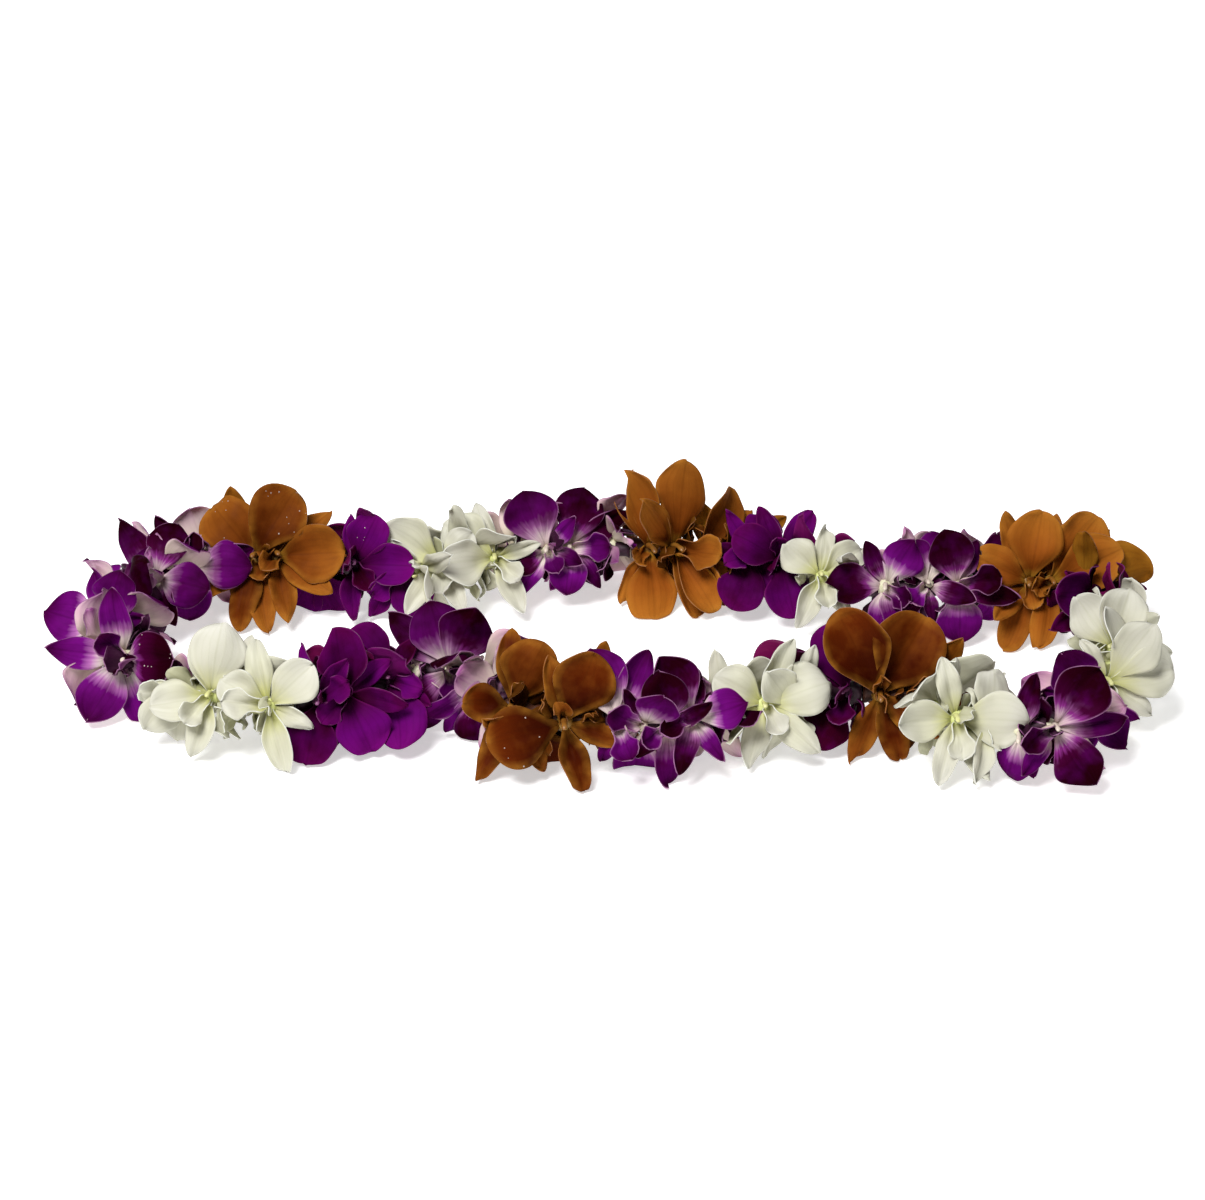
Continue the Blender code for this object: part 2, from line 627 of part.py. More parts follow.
def boolean(obj, operation, other):
    """Applies a Boolean with an object or with all objects of a collection."""
    modifier = obj.modifiers.new(operation.title(), "BOOLEAN")
    modifier.operation = operation
    modifier.solver = "MANIFOLD"
    if isinstance(other, bpy.types.Collection):
        modifier.operand_type = "COLLECTION"
        modifier.collection = other
    else:
        modifier.object = other
    bpy.context.view_layer.update()
    graph = bpy.context.evaluated_depsgraph_get()
    mesh = bpy.data.meshes.new_from_object(obj.evaluated_get(graph))
    obj.modifiers.clear()
    obj.data = mesh


def keep_main_body(obj):
    """Drops loose scraps, and fills the hollows that fused petals closed, by keeping the largest shell."""
    work = bmesh.new()
    work.from_mesh(obj.data)
    bmesh.ops.triangulate(work, faces=work.faces)
    work.verts.ensure_lookup_table()
    shell = {}
    shells = []
    for seed in work.verts:
        if seed in shell:
            continue
        members = [seed]
        shell[seed] = len(shells)
        for vert in members:
            for edge in vert.link_edges:
                other = edge.other_vert(vert)
                if other not in shell:
                    shell[other] = len(shells)
                    members.append(other)
        shells.append(members)
    largest = max(shells, key=len)
    loose = [vert for members in shells if members is not largest for vert in members]
    bmesh.ops.delete(work, geom=loose, context="VERTS")
    work.to_mesh(obj.data)
    work.free()


def principled(kind, roughness):
    material = bpy.data.materials.new(kind)
    material.use_nodes = True
    shader = material.node_tree.nodes["Principled BSDF"]
    shader.inputs["Base Color"].default_value = (*COLORS[kind], 1)
    shader.inputs["Roughness"].default_value = roughness
    shader.inputs["Metallic"].default_value = 0.0
    material.diffuse_color = (*COLORS[kind], 1)
    return material


def make_section(collection, section, blossoms):
    """One solid: the bored core with the petals of its blossoms fused into it."""
    name, kind, _, _ = SECTIONS[section]
    start, end = section_ends()[section]
    core = mesh_object(name, *tube(core_rings(section), CORE_SIDES), collection)
    helpers = bpy.data.collections.new("petals_of_" + name)
    bpy.context.scene.collection.children.link(helpers)
    for blossom in blossoms:
        if blossom["section"] != section:
            continue
        for part, points, triangles in blossom["petals"]:
            mesh_object(part, points, triangles, helpers)
    boolean(core, "UNION", helpers)
    for helper in list(helpers.objects):
        bpy.data.objects.remove(helper)
    here = places(section)
    stops = [start] + [(a + b) / 2 for a, b in zip(here, here[1:])] + [end]
    rings = [(stop, BORE_RADIUS) for stop in [start - BORE_OVERRUN] + stops + [end + BORE_OVERRUN]]
    cutter = mesh_object("bore_of_" + name, *tube(rings, BORE_SIDES, on_thread), helpers)
    boolean(core, "DIFFERENCE", cutter)
    bpy.data.objects.remove(cutter)
    bpy.data.collections.remove(helpers)
    keep_main_body(core)
    core.data.materials.clear()
    core.data.materials.append(principled(kind, 0.5))
    return core


def tail_points(side):
    """One cut end of the thread: it leaves the knot and bends away from the loop, below the petals' reach."""
    centre, tangent = along(KNOT_DISTANCE)
    outward = -tangent.cross(UP).normalized()
    reach = (0.0, 0.4, 0.75, 1.0)
    return [centre + (outward * r + UP * side * (0.25 + 0.35 * r) * r) * TAIL_LENGTH for r in reach]


def round_wire(name, points, radius, cyclic, collection):
    """A round wire through the points, as a closed mesh."""
    curve = bpy.data.curves.new(name, "CURVE")
    curve.dimensions = "3D"
    curve.bevel_depth = radius
    curve.bevel_resolution = 0
    curve.use_fill_caps = not cyclic
    spline = curve.splines.new("POLY")
    spline.points.add(len(points) - 1)
    for control, point in zip(spline.points, points):
        control.co = (*point, 1)
    spline.use_cyclic_u = cyclic
    guide = bpy.data.objects.new(name + "_guide", curve)
    collection.objects.link(guide)
    bpy.context.view_layer.update()
    graph = bpy.context.evaluated_depsgraph_get()
    mesh = bpy.data.meshes.new_from_object(guide.evaluated_get(graph))
    bpy.data.objects.remove(guide)
    work = bmesh.new()
    work.from_mesh(mesh)
    bmesh.ops.remove_doubles(work, verts=work.verts, dist=0.00001)
    bmesh.ops.recalc_face_normals(work, faces=work.faces)
    work.to_mesh(mesh)
    work.free()
    wire = bpy.data.objects.new(name, mesh)
    collection.objects.link(wire)
    return wire


def make_thread(collection):
    """The cotton thread: a closed loop through all the cores, its knot and the two tails fused."""
    thread = round_wire("thread", [along(stop)[0] for stop in STOPS], THREAD_RADIUS, True, collection)
    helpers = bpy.data.collections.new("knot")
    bpy.context.scene.collection.children.link(helpers)
    ball = bmesh.new()
    bmesh.ops.create_icosphere(ball, subdivisions=1, radius=KNOT_RADIUS)
    bmesh.ops.translate(ball, verts=ball.verts, vec=along(KNOT_DISTANCE)[0])
    mesh = bpy.data.meshes.new("knot")
    ball.to_mesh(mesh)
    ball.free()
    helpers.objects.link(bpy.data.objects.new("knot", mesh))
    for side in (-1, 1):
        round_wire("tail", tail_points(side), THREAD_RADIUS, False, helpers)
    boolean(thread, "UNION", helpers)
    for helper in list(helpers.objects):
        bpy.data.objects.remove(helper)
    bpy.data.collections.remove(helpers)
    keep_main_body(thread)
    thread.data.materials.clear()
    thread.data.materials.append(principled("thread", 0.9))
    return thread


def tail_obstacles():
    """The knot's tails as thin blades, for the petals to stay clear of."""
    found = []
    for side in (-1, 1):
        points = tail_points(side)
        corners = [p + UP * offset for p in points for offset in (TAIL_CLEARANCE, -TAIL_CLEARANCE)]
        triangles = []
        for i in range(len(points) - 1):
            a = 2 * i
            triangles += [(a, a + 1, a + 2), (a + 1, a + 3, a + 2)]
        found.append(Obstacle(None, corners, triangles))
    return found


def main():
    for obj in list(bpy.data.objects):
        bpy.data.objects.remove(obj)
    collection = bpy.data.collections.new("lei")
    bpy.context.scene.collection.children.link(collection)
    blossoms = make_blossoms()
    obstacles = tail_obstacles()
    for section in range(len(SECTIONS)):
        obstacles.append(Obstacle(section, *tube(core_rings(section, CORE_CLEARANCE), CORE_SIDES)))
    place_petals(blossoms, obstacles)
    for section in range(len(SECTIONS)):
        make_section(collection, section, blossoms)
    make_thread(collection)


if __name__ == "__main__":
    main()
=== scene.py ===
import math
import random

import bmesh
import bpy
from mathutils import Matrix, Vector, noise as buckles
from mathutils.bvhtree import BVHTree


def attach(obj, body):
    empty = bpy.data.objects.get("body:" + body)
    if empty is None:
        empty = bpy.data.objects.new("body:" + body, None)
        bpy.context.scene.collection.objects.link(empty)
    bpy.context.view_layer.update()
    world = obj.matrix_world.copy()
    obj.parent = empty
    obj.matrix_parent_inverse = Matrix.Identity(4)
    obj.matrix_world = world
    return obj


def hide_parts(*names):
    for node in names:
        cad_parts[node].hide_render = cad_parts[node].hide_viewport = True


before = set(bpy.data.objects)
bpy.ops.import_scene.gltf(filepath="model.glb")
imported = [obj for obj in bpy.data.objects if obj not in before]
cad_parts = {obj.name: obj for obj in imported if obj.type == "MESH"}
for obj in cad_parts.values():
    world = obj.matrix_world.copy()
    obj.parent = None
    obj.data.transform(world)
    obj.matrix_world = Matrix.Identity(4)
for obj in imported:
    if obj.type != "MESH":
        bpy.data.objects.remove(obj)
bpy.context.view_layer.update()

bpy.ops.object.select_all(action="DESELECT")

# The camera: a long lens in front of the table, 32 degrees above it, level, as in the photograph. The
# picture's middle is moved by a few pixels, so that the lei lies where it does there.
CAMERA_LIFT = math.radians(32)
CAMERA_DISTANCE = 1.22
CAMERA_AIM_Y = 0.044
LENS_MILLIMETRES = 80
SENSOR_MILLIMETRES = 36
PICTURE_WIDTH = 1205
PICTURE_SHIFT_X = -3.5
PICTURE_SHIFT_Y = 22

bpy.ops.object.camera_add(
    location=(
        0,
        CAMERA_AIM_Y - CAMERA_DISTANCE * math.cos(CAMERA_LIFT),
        CAMERA_DISTANCE * math.sin(CAMERA_LIFT),
    ),
    rotation=(math.pi / 2 - CAMERA_LIFT, 0, 0),
)
camera = bpy.context.object
camera.name = "camera"
camera.data.lens = LENS_MILLIMETRES
camera.data.sensor_width = SENSOR_MILLIMETRES
camera.data.shift_x = PICTURE_SHIFT_X / PICTURE_WIDTH
camera.data.shift_y = PICTURE_SHIFT_Y / PICTURE_WIDTH
bpy.context.scene.camera = camera
bpy.context.scene.view_settings.view_transform = "Standard"

# The table and the light: a white table that runs out of sight, a bright white room and one large
# soft lamp over the left front. The table glows a little, so that it comes out almost pure white.
TABLE_SIZE = 12
TABLE_DROP = 0.0003
TABLE_GLOW = 0.50
ROOM_LIGHT = 0.17

bpy.ops.mesh.primitive_plane_add(size=TABLE_SIZE, location=(0, 0, -TABLE_DROP))
table = bpy.context.object
table.name = "table"
table_finish = bpy.data.materials.new("table_white")
table_finish.use_nodes = True
table_shader = table_finish.node_tree.nodes["Principled BSDF"]
table_shader.inputs["Base Color"].default_value = (0.93, 0.93, 0.93, 1)
table_shader.inputs["Roughness"].default_value = 0.8
table_shader.inputs["Specular IOR Level"].default_value = 0.2
table_shader.inputs["Emission Color"].default_value = (1, 1, 1, 1)
table_shader.inputs["Emission Strength"].default_value = TABLE_GLOW
table.data.materials.append(table_finish)

room = bpy.data.worlds.new("white_room")
room.use_nodes = True
room.node_tree.nodes["Background"].inputs["Color"].default_value = (1, 1, 1, 1)
room.node_tree.nodes["Background"].inputs["Strength"].default_value = ROOM_LIGHT
bpy.context.scene.world = room


def add_lamp(name, place, size, watts):
    """A round soft lamp that points at the middle of the table."""
    bpy.ops.object.light_add(type="AREA", location=place)
    lamp = bpy.context.object
    lamp.name = name
    lamp.data.shape = "DISK"
    lamp.data.size = size
    lamp.data.energy = watts
    lamp.rotation_euler = (-Vector(place)).to_track_quat("-Z", "Y").to_euler()


add_lamp("soft_lamp", (-0.5, -0.6, 1.5), 0.8, 36)
add_lamp("fill_lamp", (1.0, 0.9, 1.2), 1.2, 5)

# The thread: two-ply white cotton, 1 mm thick, one closed loop through the throats of all blossoms.
# Its ends are tied in a knot between the first two sections, with two short tails.
ROUTE = [
    (-0.214, -0.009), (-0.199, 0.048), (-0.155, 0.063), (-0.107, 0.057), (-0.069, 0.059),
    (-0.017, 0.073), (0.035, 0.072), (0.081, 0.060), (0.105, 0.042), (0.145, 0.039),
    (0.208, 0.039), (0.219, -0.019), (0.187, -0.071), (0.149, -0.068), (0.116, -0.048),
    (0.075, -0.053), (0.033, -0.068), (-0.027, -0.067), (-0.068, -0.030), (-0.110, -0.048),
    (-0.155, -0.055),
]
STRAND_HEIGHT = 0.0220
ROUTE_STEPS = 24
THREAD_RADIUS = 0.0005
THREAD_STEP = 0.0008
THREAD_SIDES = 8
TWIST_PITCH = 0.0034
PLY_DIP = 0.12
KNOT_DISTANCE = 0.035
KNOT_RADIUS = 0.0016
KNOT_FIT = 0.42
KNOT_STEPS = 72
TAIL_LENGTH = 0.0090
TAIL_STEPS = 12
UP = Vector((0, 0, 1))


def smooth_route():
    """The centre line as short straight steps round the loop, with the distance to each point."""
    points = []
    count = len(ROUTE)
    for i in range(count):
        p0, p1, p2, p3 = (Vector((*ROUTE[(i + k) % count], STRAND_HEIGHT)) for k in (-1, 0, 1, 2))
        for step in range(ROUTE_STEPS):
            t = step / ROUTE_STEPS
            bend = (2 * p0 - 5 * p1 + 4 * p2 - p3) * t * t + (3 * p1 - p0 - 3 * p2 + p3) * t * t * t
            points.append((2 * p1 + (p2 - p0) * t + bend) / 2)
    distances = [0.0]
    for i, point in enumerate(points):
        distances.append(distances[-1] + (points[(i + 1) % len(points)] - point).length)
    return points, distances


ROUTE_POINTS, ROUTE_DISTANCES = smooth_route()
THREAD_LENGTH = ROUTE_DISTANCES[-1]


def along(distance):
    """The point at this distance along the thread, and the thread's direction there."""
    distance %= THREAD_LENGTH
    low, high = 0, len(ROUTE_POINTS)
    while high - low > 1:
        middle = (low + high) // 2
        if ROUTE_DISTANCES[middle] <= distance:
            low = middle
        else:
            high = middle
    a = ROUTE_POINTS[low]
    b = ROUTE_POINTS[(low + 1) % len(ROUTE_POINTS)]
    share = (distance - ROUTE_DISTANCES[low]) / (ROUTE_DISTANCES[low + 1] - ROUTE_DISTANCES[low])
    return a.lerp(b, share), (b - a).normalized()


def twisted_cord(name, path, radius, closed):
    """Two-ply thread along the path: a ring of points at each step, turned a little further each time
    and bridged to the ring before it."""
    bpy.ops.mesh.primitive_circle_add(vertices=THREAD_SIDES, radius=radius, fill_type="NOTHING")
    cord = bpy.context.object
    cord.name = name
    mesh = bmesh.new()
    rings = []
    travelled = 0.0
    count = len(path)
    for i, point in enumerate(path):
        before = path[i - 1] if i or closed else path[0]
        after = path[(i + 1) % count] if i + 1 < count or closed else path[-1]
        forward = (after - before).normalized()
        level = forward.cross(UP).normalized()
        rise = level.cross(forward)
        turn = 2 * math.pi * travelled / TWIST_PITCH
        ring = []
        for k in range(THREAD_SIDES):
            angle = 2 * math.pi * k / THREAD_SIDES + turn
            reach = radius * (1 - PLY_DIP + PLY_DIP * math.cos(4 * math.pi * k / THREAD_SIDES))
            offset = level * math.cos(angle) * reach + rise * math.sin(angle) * reach
            ring.append(mesh.verts.new(point + offset))
        rings.append(ring)
        travelled += (after - point).length
    pairs = list(zip(rings, rings[1:] + rings[:1])) if closed else list(zip(rings, rings[1:]))
    for a, b in pairs:
        for k in range(THREAD_SIDES):
            j = (k + 1) % THREAD_SIDES
            mesh.faces.new((a[k], a[j], b[j], b[k]))
    if not closed:
        mesh.faces.new(list(reversed(rings[0])))
        mesh.faces.new(rings[-1])
    bmesh.ops.recalc_face_normals(mesh, faces=mesh.faces)
    mesh.to_mesh(cord.data)
    mesh.free()
    return cord


def knot_path():
    """A small overhand knot as a three-lobed knot curve round the thread."""
    centre, forward = along(KNOT_DISTANCE)
    level = forward.cross(UP).normalized()
    reach = KNOT_RADIUS * KNOT_FIT
    points = []
    for i in range(KNOT_STEPS):
        t = 2 * math.pi * i / KNOT_STEPS
        x = (math.sin(t) + 2 * math.sin(2 * t)) * reach
        y = (math.cos(t) - 2 * math.cos(2 * t)) * reach
        z = -math.sin(3 * t) * reach
        points.append(centre + forward * z + level * x + UP * y)
    return points


def tail_path(side, shares):
    """One cut end: it leaves the knot and bends away from the loop. Side is 1 up or -1 down."""
    centre, forward = along(KNOT_DISTANCE)
    outward = -forward.cross(UP).normalized()
    return [centre + (outward * r + UP * side * (0.25 + 0.35 * r) * r) * TAIL_LENGTH for r in shares]


def join_pieces(name, pieces):
    """Joins the pieces into the first one and names it."""
    bpy.ops.object.select_all(action="DESELECT")
    for piece in pieces:
        piece.select_set(True)
    bpy.context.view_layer.objects.active = pieces[0]
    bpy.ops.object.join()
    joined = bpy.context.object
    joined.name = name
    joined.data.name = name
    bpy.ops.object.select_all(action="DESELECT")
    return joined


cord_steps = round(THREAD_LENGTH / THREAD_STEP)
loop_path = [along(THREAD_LENGTH * i / cord_steps)[0] for i in range(cord_steps)]
tail_shares = [i / TAIL_STEPS for i in range(TAIL_STEPS + 1)]
thread = join_pieces("cotton_thread", [
    twisted_cord("loop", loop_path, THREAD_RADIUS, True),
    twisted_cord("knot", knot_path(), THREAD_RADIUS, True),
    twisted_cord("tail_low", tail_path(-1, tail_shares), THREAD_RADIUS, False),
    twisted_cord("tail_high", tail_path(1, tail_shares), THREAD_RADIUS, False),
])
for face in thread.data.polygons:
    face.use_smooth = True


def node(tree, kind, inputs=None, **settings):
    """Adds a shader node; inputs maps socket names or numbers to values or to other nodes' sockets."""
    made = tree.nodes.new(kind)
    for key, value in settings.items():
        setattr(made, key, value)
    for key, value in (inputs or {}).items():
        if isinstance(value, bpy.types.NodeSocket):
            tree.links.new(value, made.inputs[key])
        else:
            made.inputs[key].default_value = value
    return made


def blend_colors(tree, share, first, second):
    """The first colour where the share is 0 and the second where it is 1."""
    mixed = node(tree, "ShaderNodeMix", {0: share, 6: first, 7: second}, data_type="RGBA")
    return mixed.outputs[2]


def math_node(tree, operation, *values, clamp=False):
    made = node(tree, "ShaderNodeMath", dict(enumerate(values)), operation=operation, use_clamp=clamp)
    return made.outputs[0]


def noise(tree, vector, scale, detail=2.0):
    inputs = {"Vector": vector, "Scale": scale, "Detail": detail}
    return node(tree, "ShaderNodeTexNoise", inputs).outputs["Fac"]


def cotton_finish():
    """Matt off-white cotton, with fine fibres in its colour and its bump."""
    finish = bpy.data.materials.new("cotton")
    finish.use_nodes = True
    tree = finish.node_tree
    shader = tree.nodes["Principled BSDF"]
    place = node(tree, "ShaderNodeTexCoord").outputs["Object"]
    fibres = noise(tree, place, 3500.0, 3.0)
    color = blend_colors(tree, fibres, (0.62, 0.60, 0.52, 1), (0.88, 0.87, 0.82, 1))
    tree.links.new(color, shader.inputs["Base Color"])
    shader.inputs["Roughness"].default_value = 0.9
    shader.inputs["Sheen Weight"].default_value = 0.3
    bump = node(tree, "ShaderNodeBump", {"Height": fibres, "Strength": 0.5, "Distance": 0.0001})
    tree.links.new(bump.outputs[0], shader.inputs["Normal"])
    return finish


thread.data.materials.append(cotton_finish())
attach(thread, "root")
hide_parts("thread")

# Where the blossoms sit: orchid blossoms of four colourings, in 23 sections of one colouring each, in
# order round the loop. They are threaded through their throats and pushed close together.
#
# A section gives its node, its kind, its size and its blossoms. A blossom gives its place along the
# thread in millimetres, where it faces in degrees, turned from the front (right is plus) and lifted
# from level, and then either its roll, or its six parts in the order lip, two petals and three sepals:
# direction round the face (0 right, 90 up), lean forward, and at some size and fold across.
SECTIONS = [
    ("bicolor_1", "bicolor", 1.06, [
        (-32, 160, -10, [(270, 20, 0.6), (20, 10, 0.5), (160, 10, 0.5),
            (90, 10, 0.5), (225, 10, 0.6), (315, 10, 0.6)]),
        (-16, 8, 24, [(124, 35), (0, 38, 1.1, 0.4), (237, 5, 1.0, 0.4),
            (168, 4, 1.2), (97, 12, 1.2), (283, 6, 1.2)]),
        (-4, -110, 5, 40),
        (8, -15, 34, [(300, 35), (176, -2, 1.05, 0.4), (80, 25, 0.95, 1.1),
            (118, -8, 0.9), (225, 2, 0.9), (20, 30, 0.8)]),
        (18, 150, 30, 0),
        (28, -60, 40, [(270, 30), (62, 10, 1.0, 0.9), (170, 5, 0.8),
            (110, -5, 1.0), (225, 10, 0.9), (320, 10, 0.9)]),
    ]),
    ("bicolor_2", "bicolor", 1.00, [
        (41, -150, 18, [(270, 40), (15, -8), (165, -8, 0.9), (84, -12, 1.15), (45, -5, 1.1), (300, 10)]),
        (52, -8, 44, [(250, 40), (84, -20, 0.98, 0.7), (350, 20, 1.05, 0.8),
            (300, 15), (132, -12, 1.25), (240, 20)]),
        (62, 160, 20, 0),
        (72, 12, 32, [(80, 30), (356, 22, 1.1, 0.8), (262, 12, 0.95), (8, 10, 1.15), (120, 0), (222, 15)]),
        (84, -160, -15, 60),
    ]),
    ("amber_1", "amber", 1.18, [
        (95, 170, -5, 0),
        (104, -6, 42, [(300, 40, 0.8), (134, 0, 1.02, 0.5), (70, 8, 1.05, 0.4),
            (200, 5), (262, 10, 1.15), (284, 8, 1.15)]),
        (114, 16, 44, [(220, 40, 0.8), (104, 34, 0.9, 1.1), (348, 6, 1.02, 0.5),
            (40, -4), (325, 20, 1.1), (268, 16, 1.1)]),
        (123, 150, -35, 180),
    ]),
    ("violet_1", "violet", 1.00, [
        (134, -10, -6, [(90, 30), (240, 8, 1.0), (300, 12, 1.0), (270, 5), (200, 10, 0.7), (30, 20, 0.8)]),
        (151, 5, 36, [(300, 40), (60, 14, 0.88, 0.5), (8, 8, 1.0, 0.7),
            (92, -8, 0.8), (322, 10), (265, 12)]),
        (160, 160, 25, 0),
        (169, 12, 20, [(200, 30), (285, 10, 0.9), (40, 5, 0.8), (240, 5), (330, 10), (90, 0, 0.7)]),
    ]),
    ("white_1", "white", 1.00, [
        (179, -15, 5, 160),
        (189, -4, 36, [(290, 32), (148, 0, 1.05), (20, 5, 0.9), (168, -14), (240, 12), (300, 18)]),
        (202, 165, 40, 0),
        (213, 2, 32, [(320, 30), (148, -4, 1.0), (188, 30, 1.0, 0.5),
            (108, -4), (298, 10, 1.05), (20, 0, 0.8)]),
    ]),
    ("bicolor_3", "bicolor", 0.98, [
        (226, -170, 0, 0),
        (238, -5, 30, [(300, 40, 0.9), (113, 0, 1.1), (190, 25, 0.95, 0.7),
            (60, 18, 0.8), (235, 18), (340, 30, 0.8)]),
        (249, 5, 28, [(6, 20, 1.25), (81, -4, 1.15), (246, 22, 0.85),
            (30, 10, 1.2), (220, 18, 0.8), (290, 22, 0.9)]),
        (259, -150, 30, 40),
        (269, 150, 20, [(270, 40), (284, -10, 1.05), (100, -10, 0.8), (243, 5, 1.25), (150, -5), (20, 0)]),
    ]),
    ("amber_2", "amber", 1.25, [
        (287, 20, 26, [(200, 40, 0.7), (108, 2, 1.08, 1.2), (262, 10, 1.0, 0.9),
            (90, -6, 1.15), (232, -8, 0.9), (20, 10, 0.9)]),
        (299, 26, 30, [(330, 50, 1.2), (72, 4, 1.1, 1.1), (288, 18, 0.98, 1.1),
            (100, -5, 1.15), (256, 0, 1.1), (318, 25)]),
        (311, 36, 20, [(250, 40, 0.9), (46, 10, 0.95, 1.2), (322, 12, 0.9, 1.1),
            (22, 15), (348, 0), (282, 10)]),
        (320, 170, -35, 180),
    ]),
    ("violet_2", "violet", 1.00, [
        (336, 0, 38, [(200, 40), (80, 0, 0.85, 0.5), (250, 10, 1.0),
            (120, -5, 0.9), (165, 5, 0.8), (300, 10, 0.9)]),
        (350, 4, 36, [(100, 40, 0.8), (150, 22, 0.9, 0.6), (305, 10, 1.04, 0.4),
            (56, -5, 1.15), (95, -5, 1.0), (20, 5, 0.8)]),
        (360, 165, 20, 0),
    ]),
    ("white_2", "white", 0.95, [
        (373, 0, 38, [(280, 32), (35, -4, 0.85), (135, -4, 0.8),
            (80, -8, 0.9), (245, 2, 1.1), (300, 8, 0.9)]),
        (385, 165, 15, 0),
    ]),
    ("bicolor_4", "bicolor", 0.95, [
        (400, -8, 26, [(340, 40), (182, 10, 1.05, 0.5), (66, 0, 0.9), (120, 8, 0.9), (262, 18), (318, 22)]),
        (410, -170, 20, 0),
        (419, -4, 40, [(230, 35), (122, -4, 0.95), (72, 0, 1.0),
            (205, 20, 1.0, 0.5), (340, 20), (270, 30, 0.8)]),
        (432, 2, 26, [(14, 25, 1.3), (101, 8, 0.98), (270, 6, 1.0),
            (205, 8, 0.9), (342, 8, 1.1), (50, 0, 0.9)]),
        (445, 160, 5, 150),
        (455, 10, 30, [(200, 30), (60, 0, 0.9), (300, 15, 0.9), (100, 0), (225, 10), (345, 10, 0.9)]),
    ]),
    ("amber_3", "amber", 1.15, [
        (465, -10, 28, [(300, 40, 0.8), (160, 12, 0.85, 0.6), (92, 5, 0.95),
            (118, 0, 1.0), (275, 10, 1.2), (205, 8, 0.9)]),
        (476, 4, 34, [(200, 40, 0.7), (52, -4, 1.1), (14, 6, 1.1, 0.7),
            (35, 18, 1.25), (82, 5, 0.95), (258, 4, 1.15)]),
        (488, 155, 15, 0),
    ]),
    ("violet_3", "violet", 0.98, [
        (500, 35, 20, [(270, 40), (310, 8, 0.9), (160, 8), (350, 0, 1.15), (100, -8, 0.7), (200, 0)]),
        (514, 110, 20, 0),
    ]),
    ("white_3", "white", 1.00, [
        (531, 120, 15, 90),
        (545, -24, 38, [(240, 40), (140, 0, 0.95), (84, 5, 0.95),
            (112, 5, 0.95), (10, 10, 1.0), (300, 18)]),
        (557, 60, 20, [(240, 30), (340, 0, 1.0), (70, -8), (290, 5), (20, -8), (200, 15, 0.8)]),
        (571, 4, 30, [(215, 35), (50, 2, 1.08, 0.4), (8, -2, 1.15, 0.4),
            (120, 5, 0.8), (30, -8, 1.2), (330, 0, 1.0)]),
    ]),
    ("bicolor_5", "bicolor", 0.95, [
        (588, 12, 28, [(225, 40), (118, 8, 1.0), (296, 8, 0.85, 0.5),
            (158, 12, 0.9), (335, 8, 0.8), (258, 6, 1.0)]),
        (600, 150, -15, 0),
        (612, 6, 28, [(200, 30, 1.2), (54, 4, 1.1, 0.4), (302, 8, 1.0),
            (4, 5, 1.2), (150, 8, 0.9), (235, 8)]),
        (624, -12, 8, [(190, 30, 1.3), (216, 14, 0.9), (262, 16, 0.8),
            (180, 4, 0.9), (80, 8), (300, 18, 0.8)]),
    ]),
    ("white_4", "white", 1.00, [
        (636, 25, 30, [(270, 40), (62, -4, 0.85), (325, 5, 0.8), (5, 0, 1.2), (120, -4, 0.8), (240, 5)]),
        (649, 0, 30, [(275, 30, 1.1), (0, 10, 1.05, 0.5), (180, 10, 0.92),
            (102, 8, 0.98), (252, 8, 1.1), (296, 5, 1.05)]),
        (662, -170, 15, 0),
    ]),
    ("amber_4", "amber", 1.22, [
        (673, 170, 10, 180),
        (686, 0, 26, [(92, 48, 0.6), (116, 14, 1.22, 1.4), (60, 3, 1.2, 0.4),
            (246, 8), (322, 20, 0.98, 0.8), (278, 5, 1.1)]),
    ]),
    ("violet_4", "violet", 1.00, [
        (702, -20, 34, [(280, 35), (112, 4, 1.05), (258, 8, 1.0),
            (150, 5, 0.9), (225, 8, 1.0), (200, 8, 0.9)]),
        (713, 175, 20, 0),
    ]),
    ("white_5", "white", 0.97, [
        (725, 28, 0, [(270, 40), (290, 8, 0.8), (120, -8, 0.8), (320, 0, 1.1), (60, -8), (200, 10)]),
        (739, 0, 30, [(300, 32), (22, 8, 1.1, 0.6), (150, 10, 0.88),
            (70, 5, 1.12), (255, 10, 1.1), (320, 16, 1.2)]),
        (752, -175, 15, 0),
    ]),
    ("bicolor_6", "bicolor", 1.00, [
        (761, 170, -20, 0),
        (770, 8, 38, [(200, 35), (118, 4, 1.0, 0.5), (12, 5, 0.78, 0.4),
            (80, 5, 0.8), (250, 15), (300, 18, 0.8)]),
        (780, 6, 12, [(200, 30, 0.9), (338, 8, 0.85, 0.4), (100, 10, 0.9),
            (285, 8, 1.1), (30, 18, 0.8), (220, 10, 0.8)]),
        (790, 0, 10, [(170, 35, 1.0), (62, 12, 0.9), (260, 2, 1.1, 0.3),
            (315, 8, 1.05), (195, 12, 1.05), (140, 18, 0.8)]),
        (801, -4, 38, [(280, 28, 1.2), (112, 0, 1.1, 0.5), (210, 20, 0.8),
            (77, 5, 1.3), (20, 10, 0.7), (250, 20, 0.7)]),
    ]),
    ("amber_5", "amber", 1.15, [
        (811, 170, 15, 0),
        (822, 4, 27, [(100, 45, 0.6), (66, 10, 1.02, 0.3), (192, 8, 1.05, 0.3),
            (338, 12, 0.92, 0.8), (286, 8), (100, 0, 0.9)]),
        (833, 0, -12, [(270, 30, 0.7), (238, 4, 0.95), (290, 8, 0.9),
            (256, 0, 1.2), (310, 0, 1.0), (180, 20, 0.8)]),
        (844, -4, 36, [(300, 40, 0.7), (176, 4, 0.62, 0.3), (66, 8, 0.9),
            (92, 0, 1.1), (250, 5, 1.15), (282, 8)]),
    ]),
    ("bicolor_7", "bicolor", 1.00, [
        (856, 175, -20, 0),
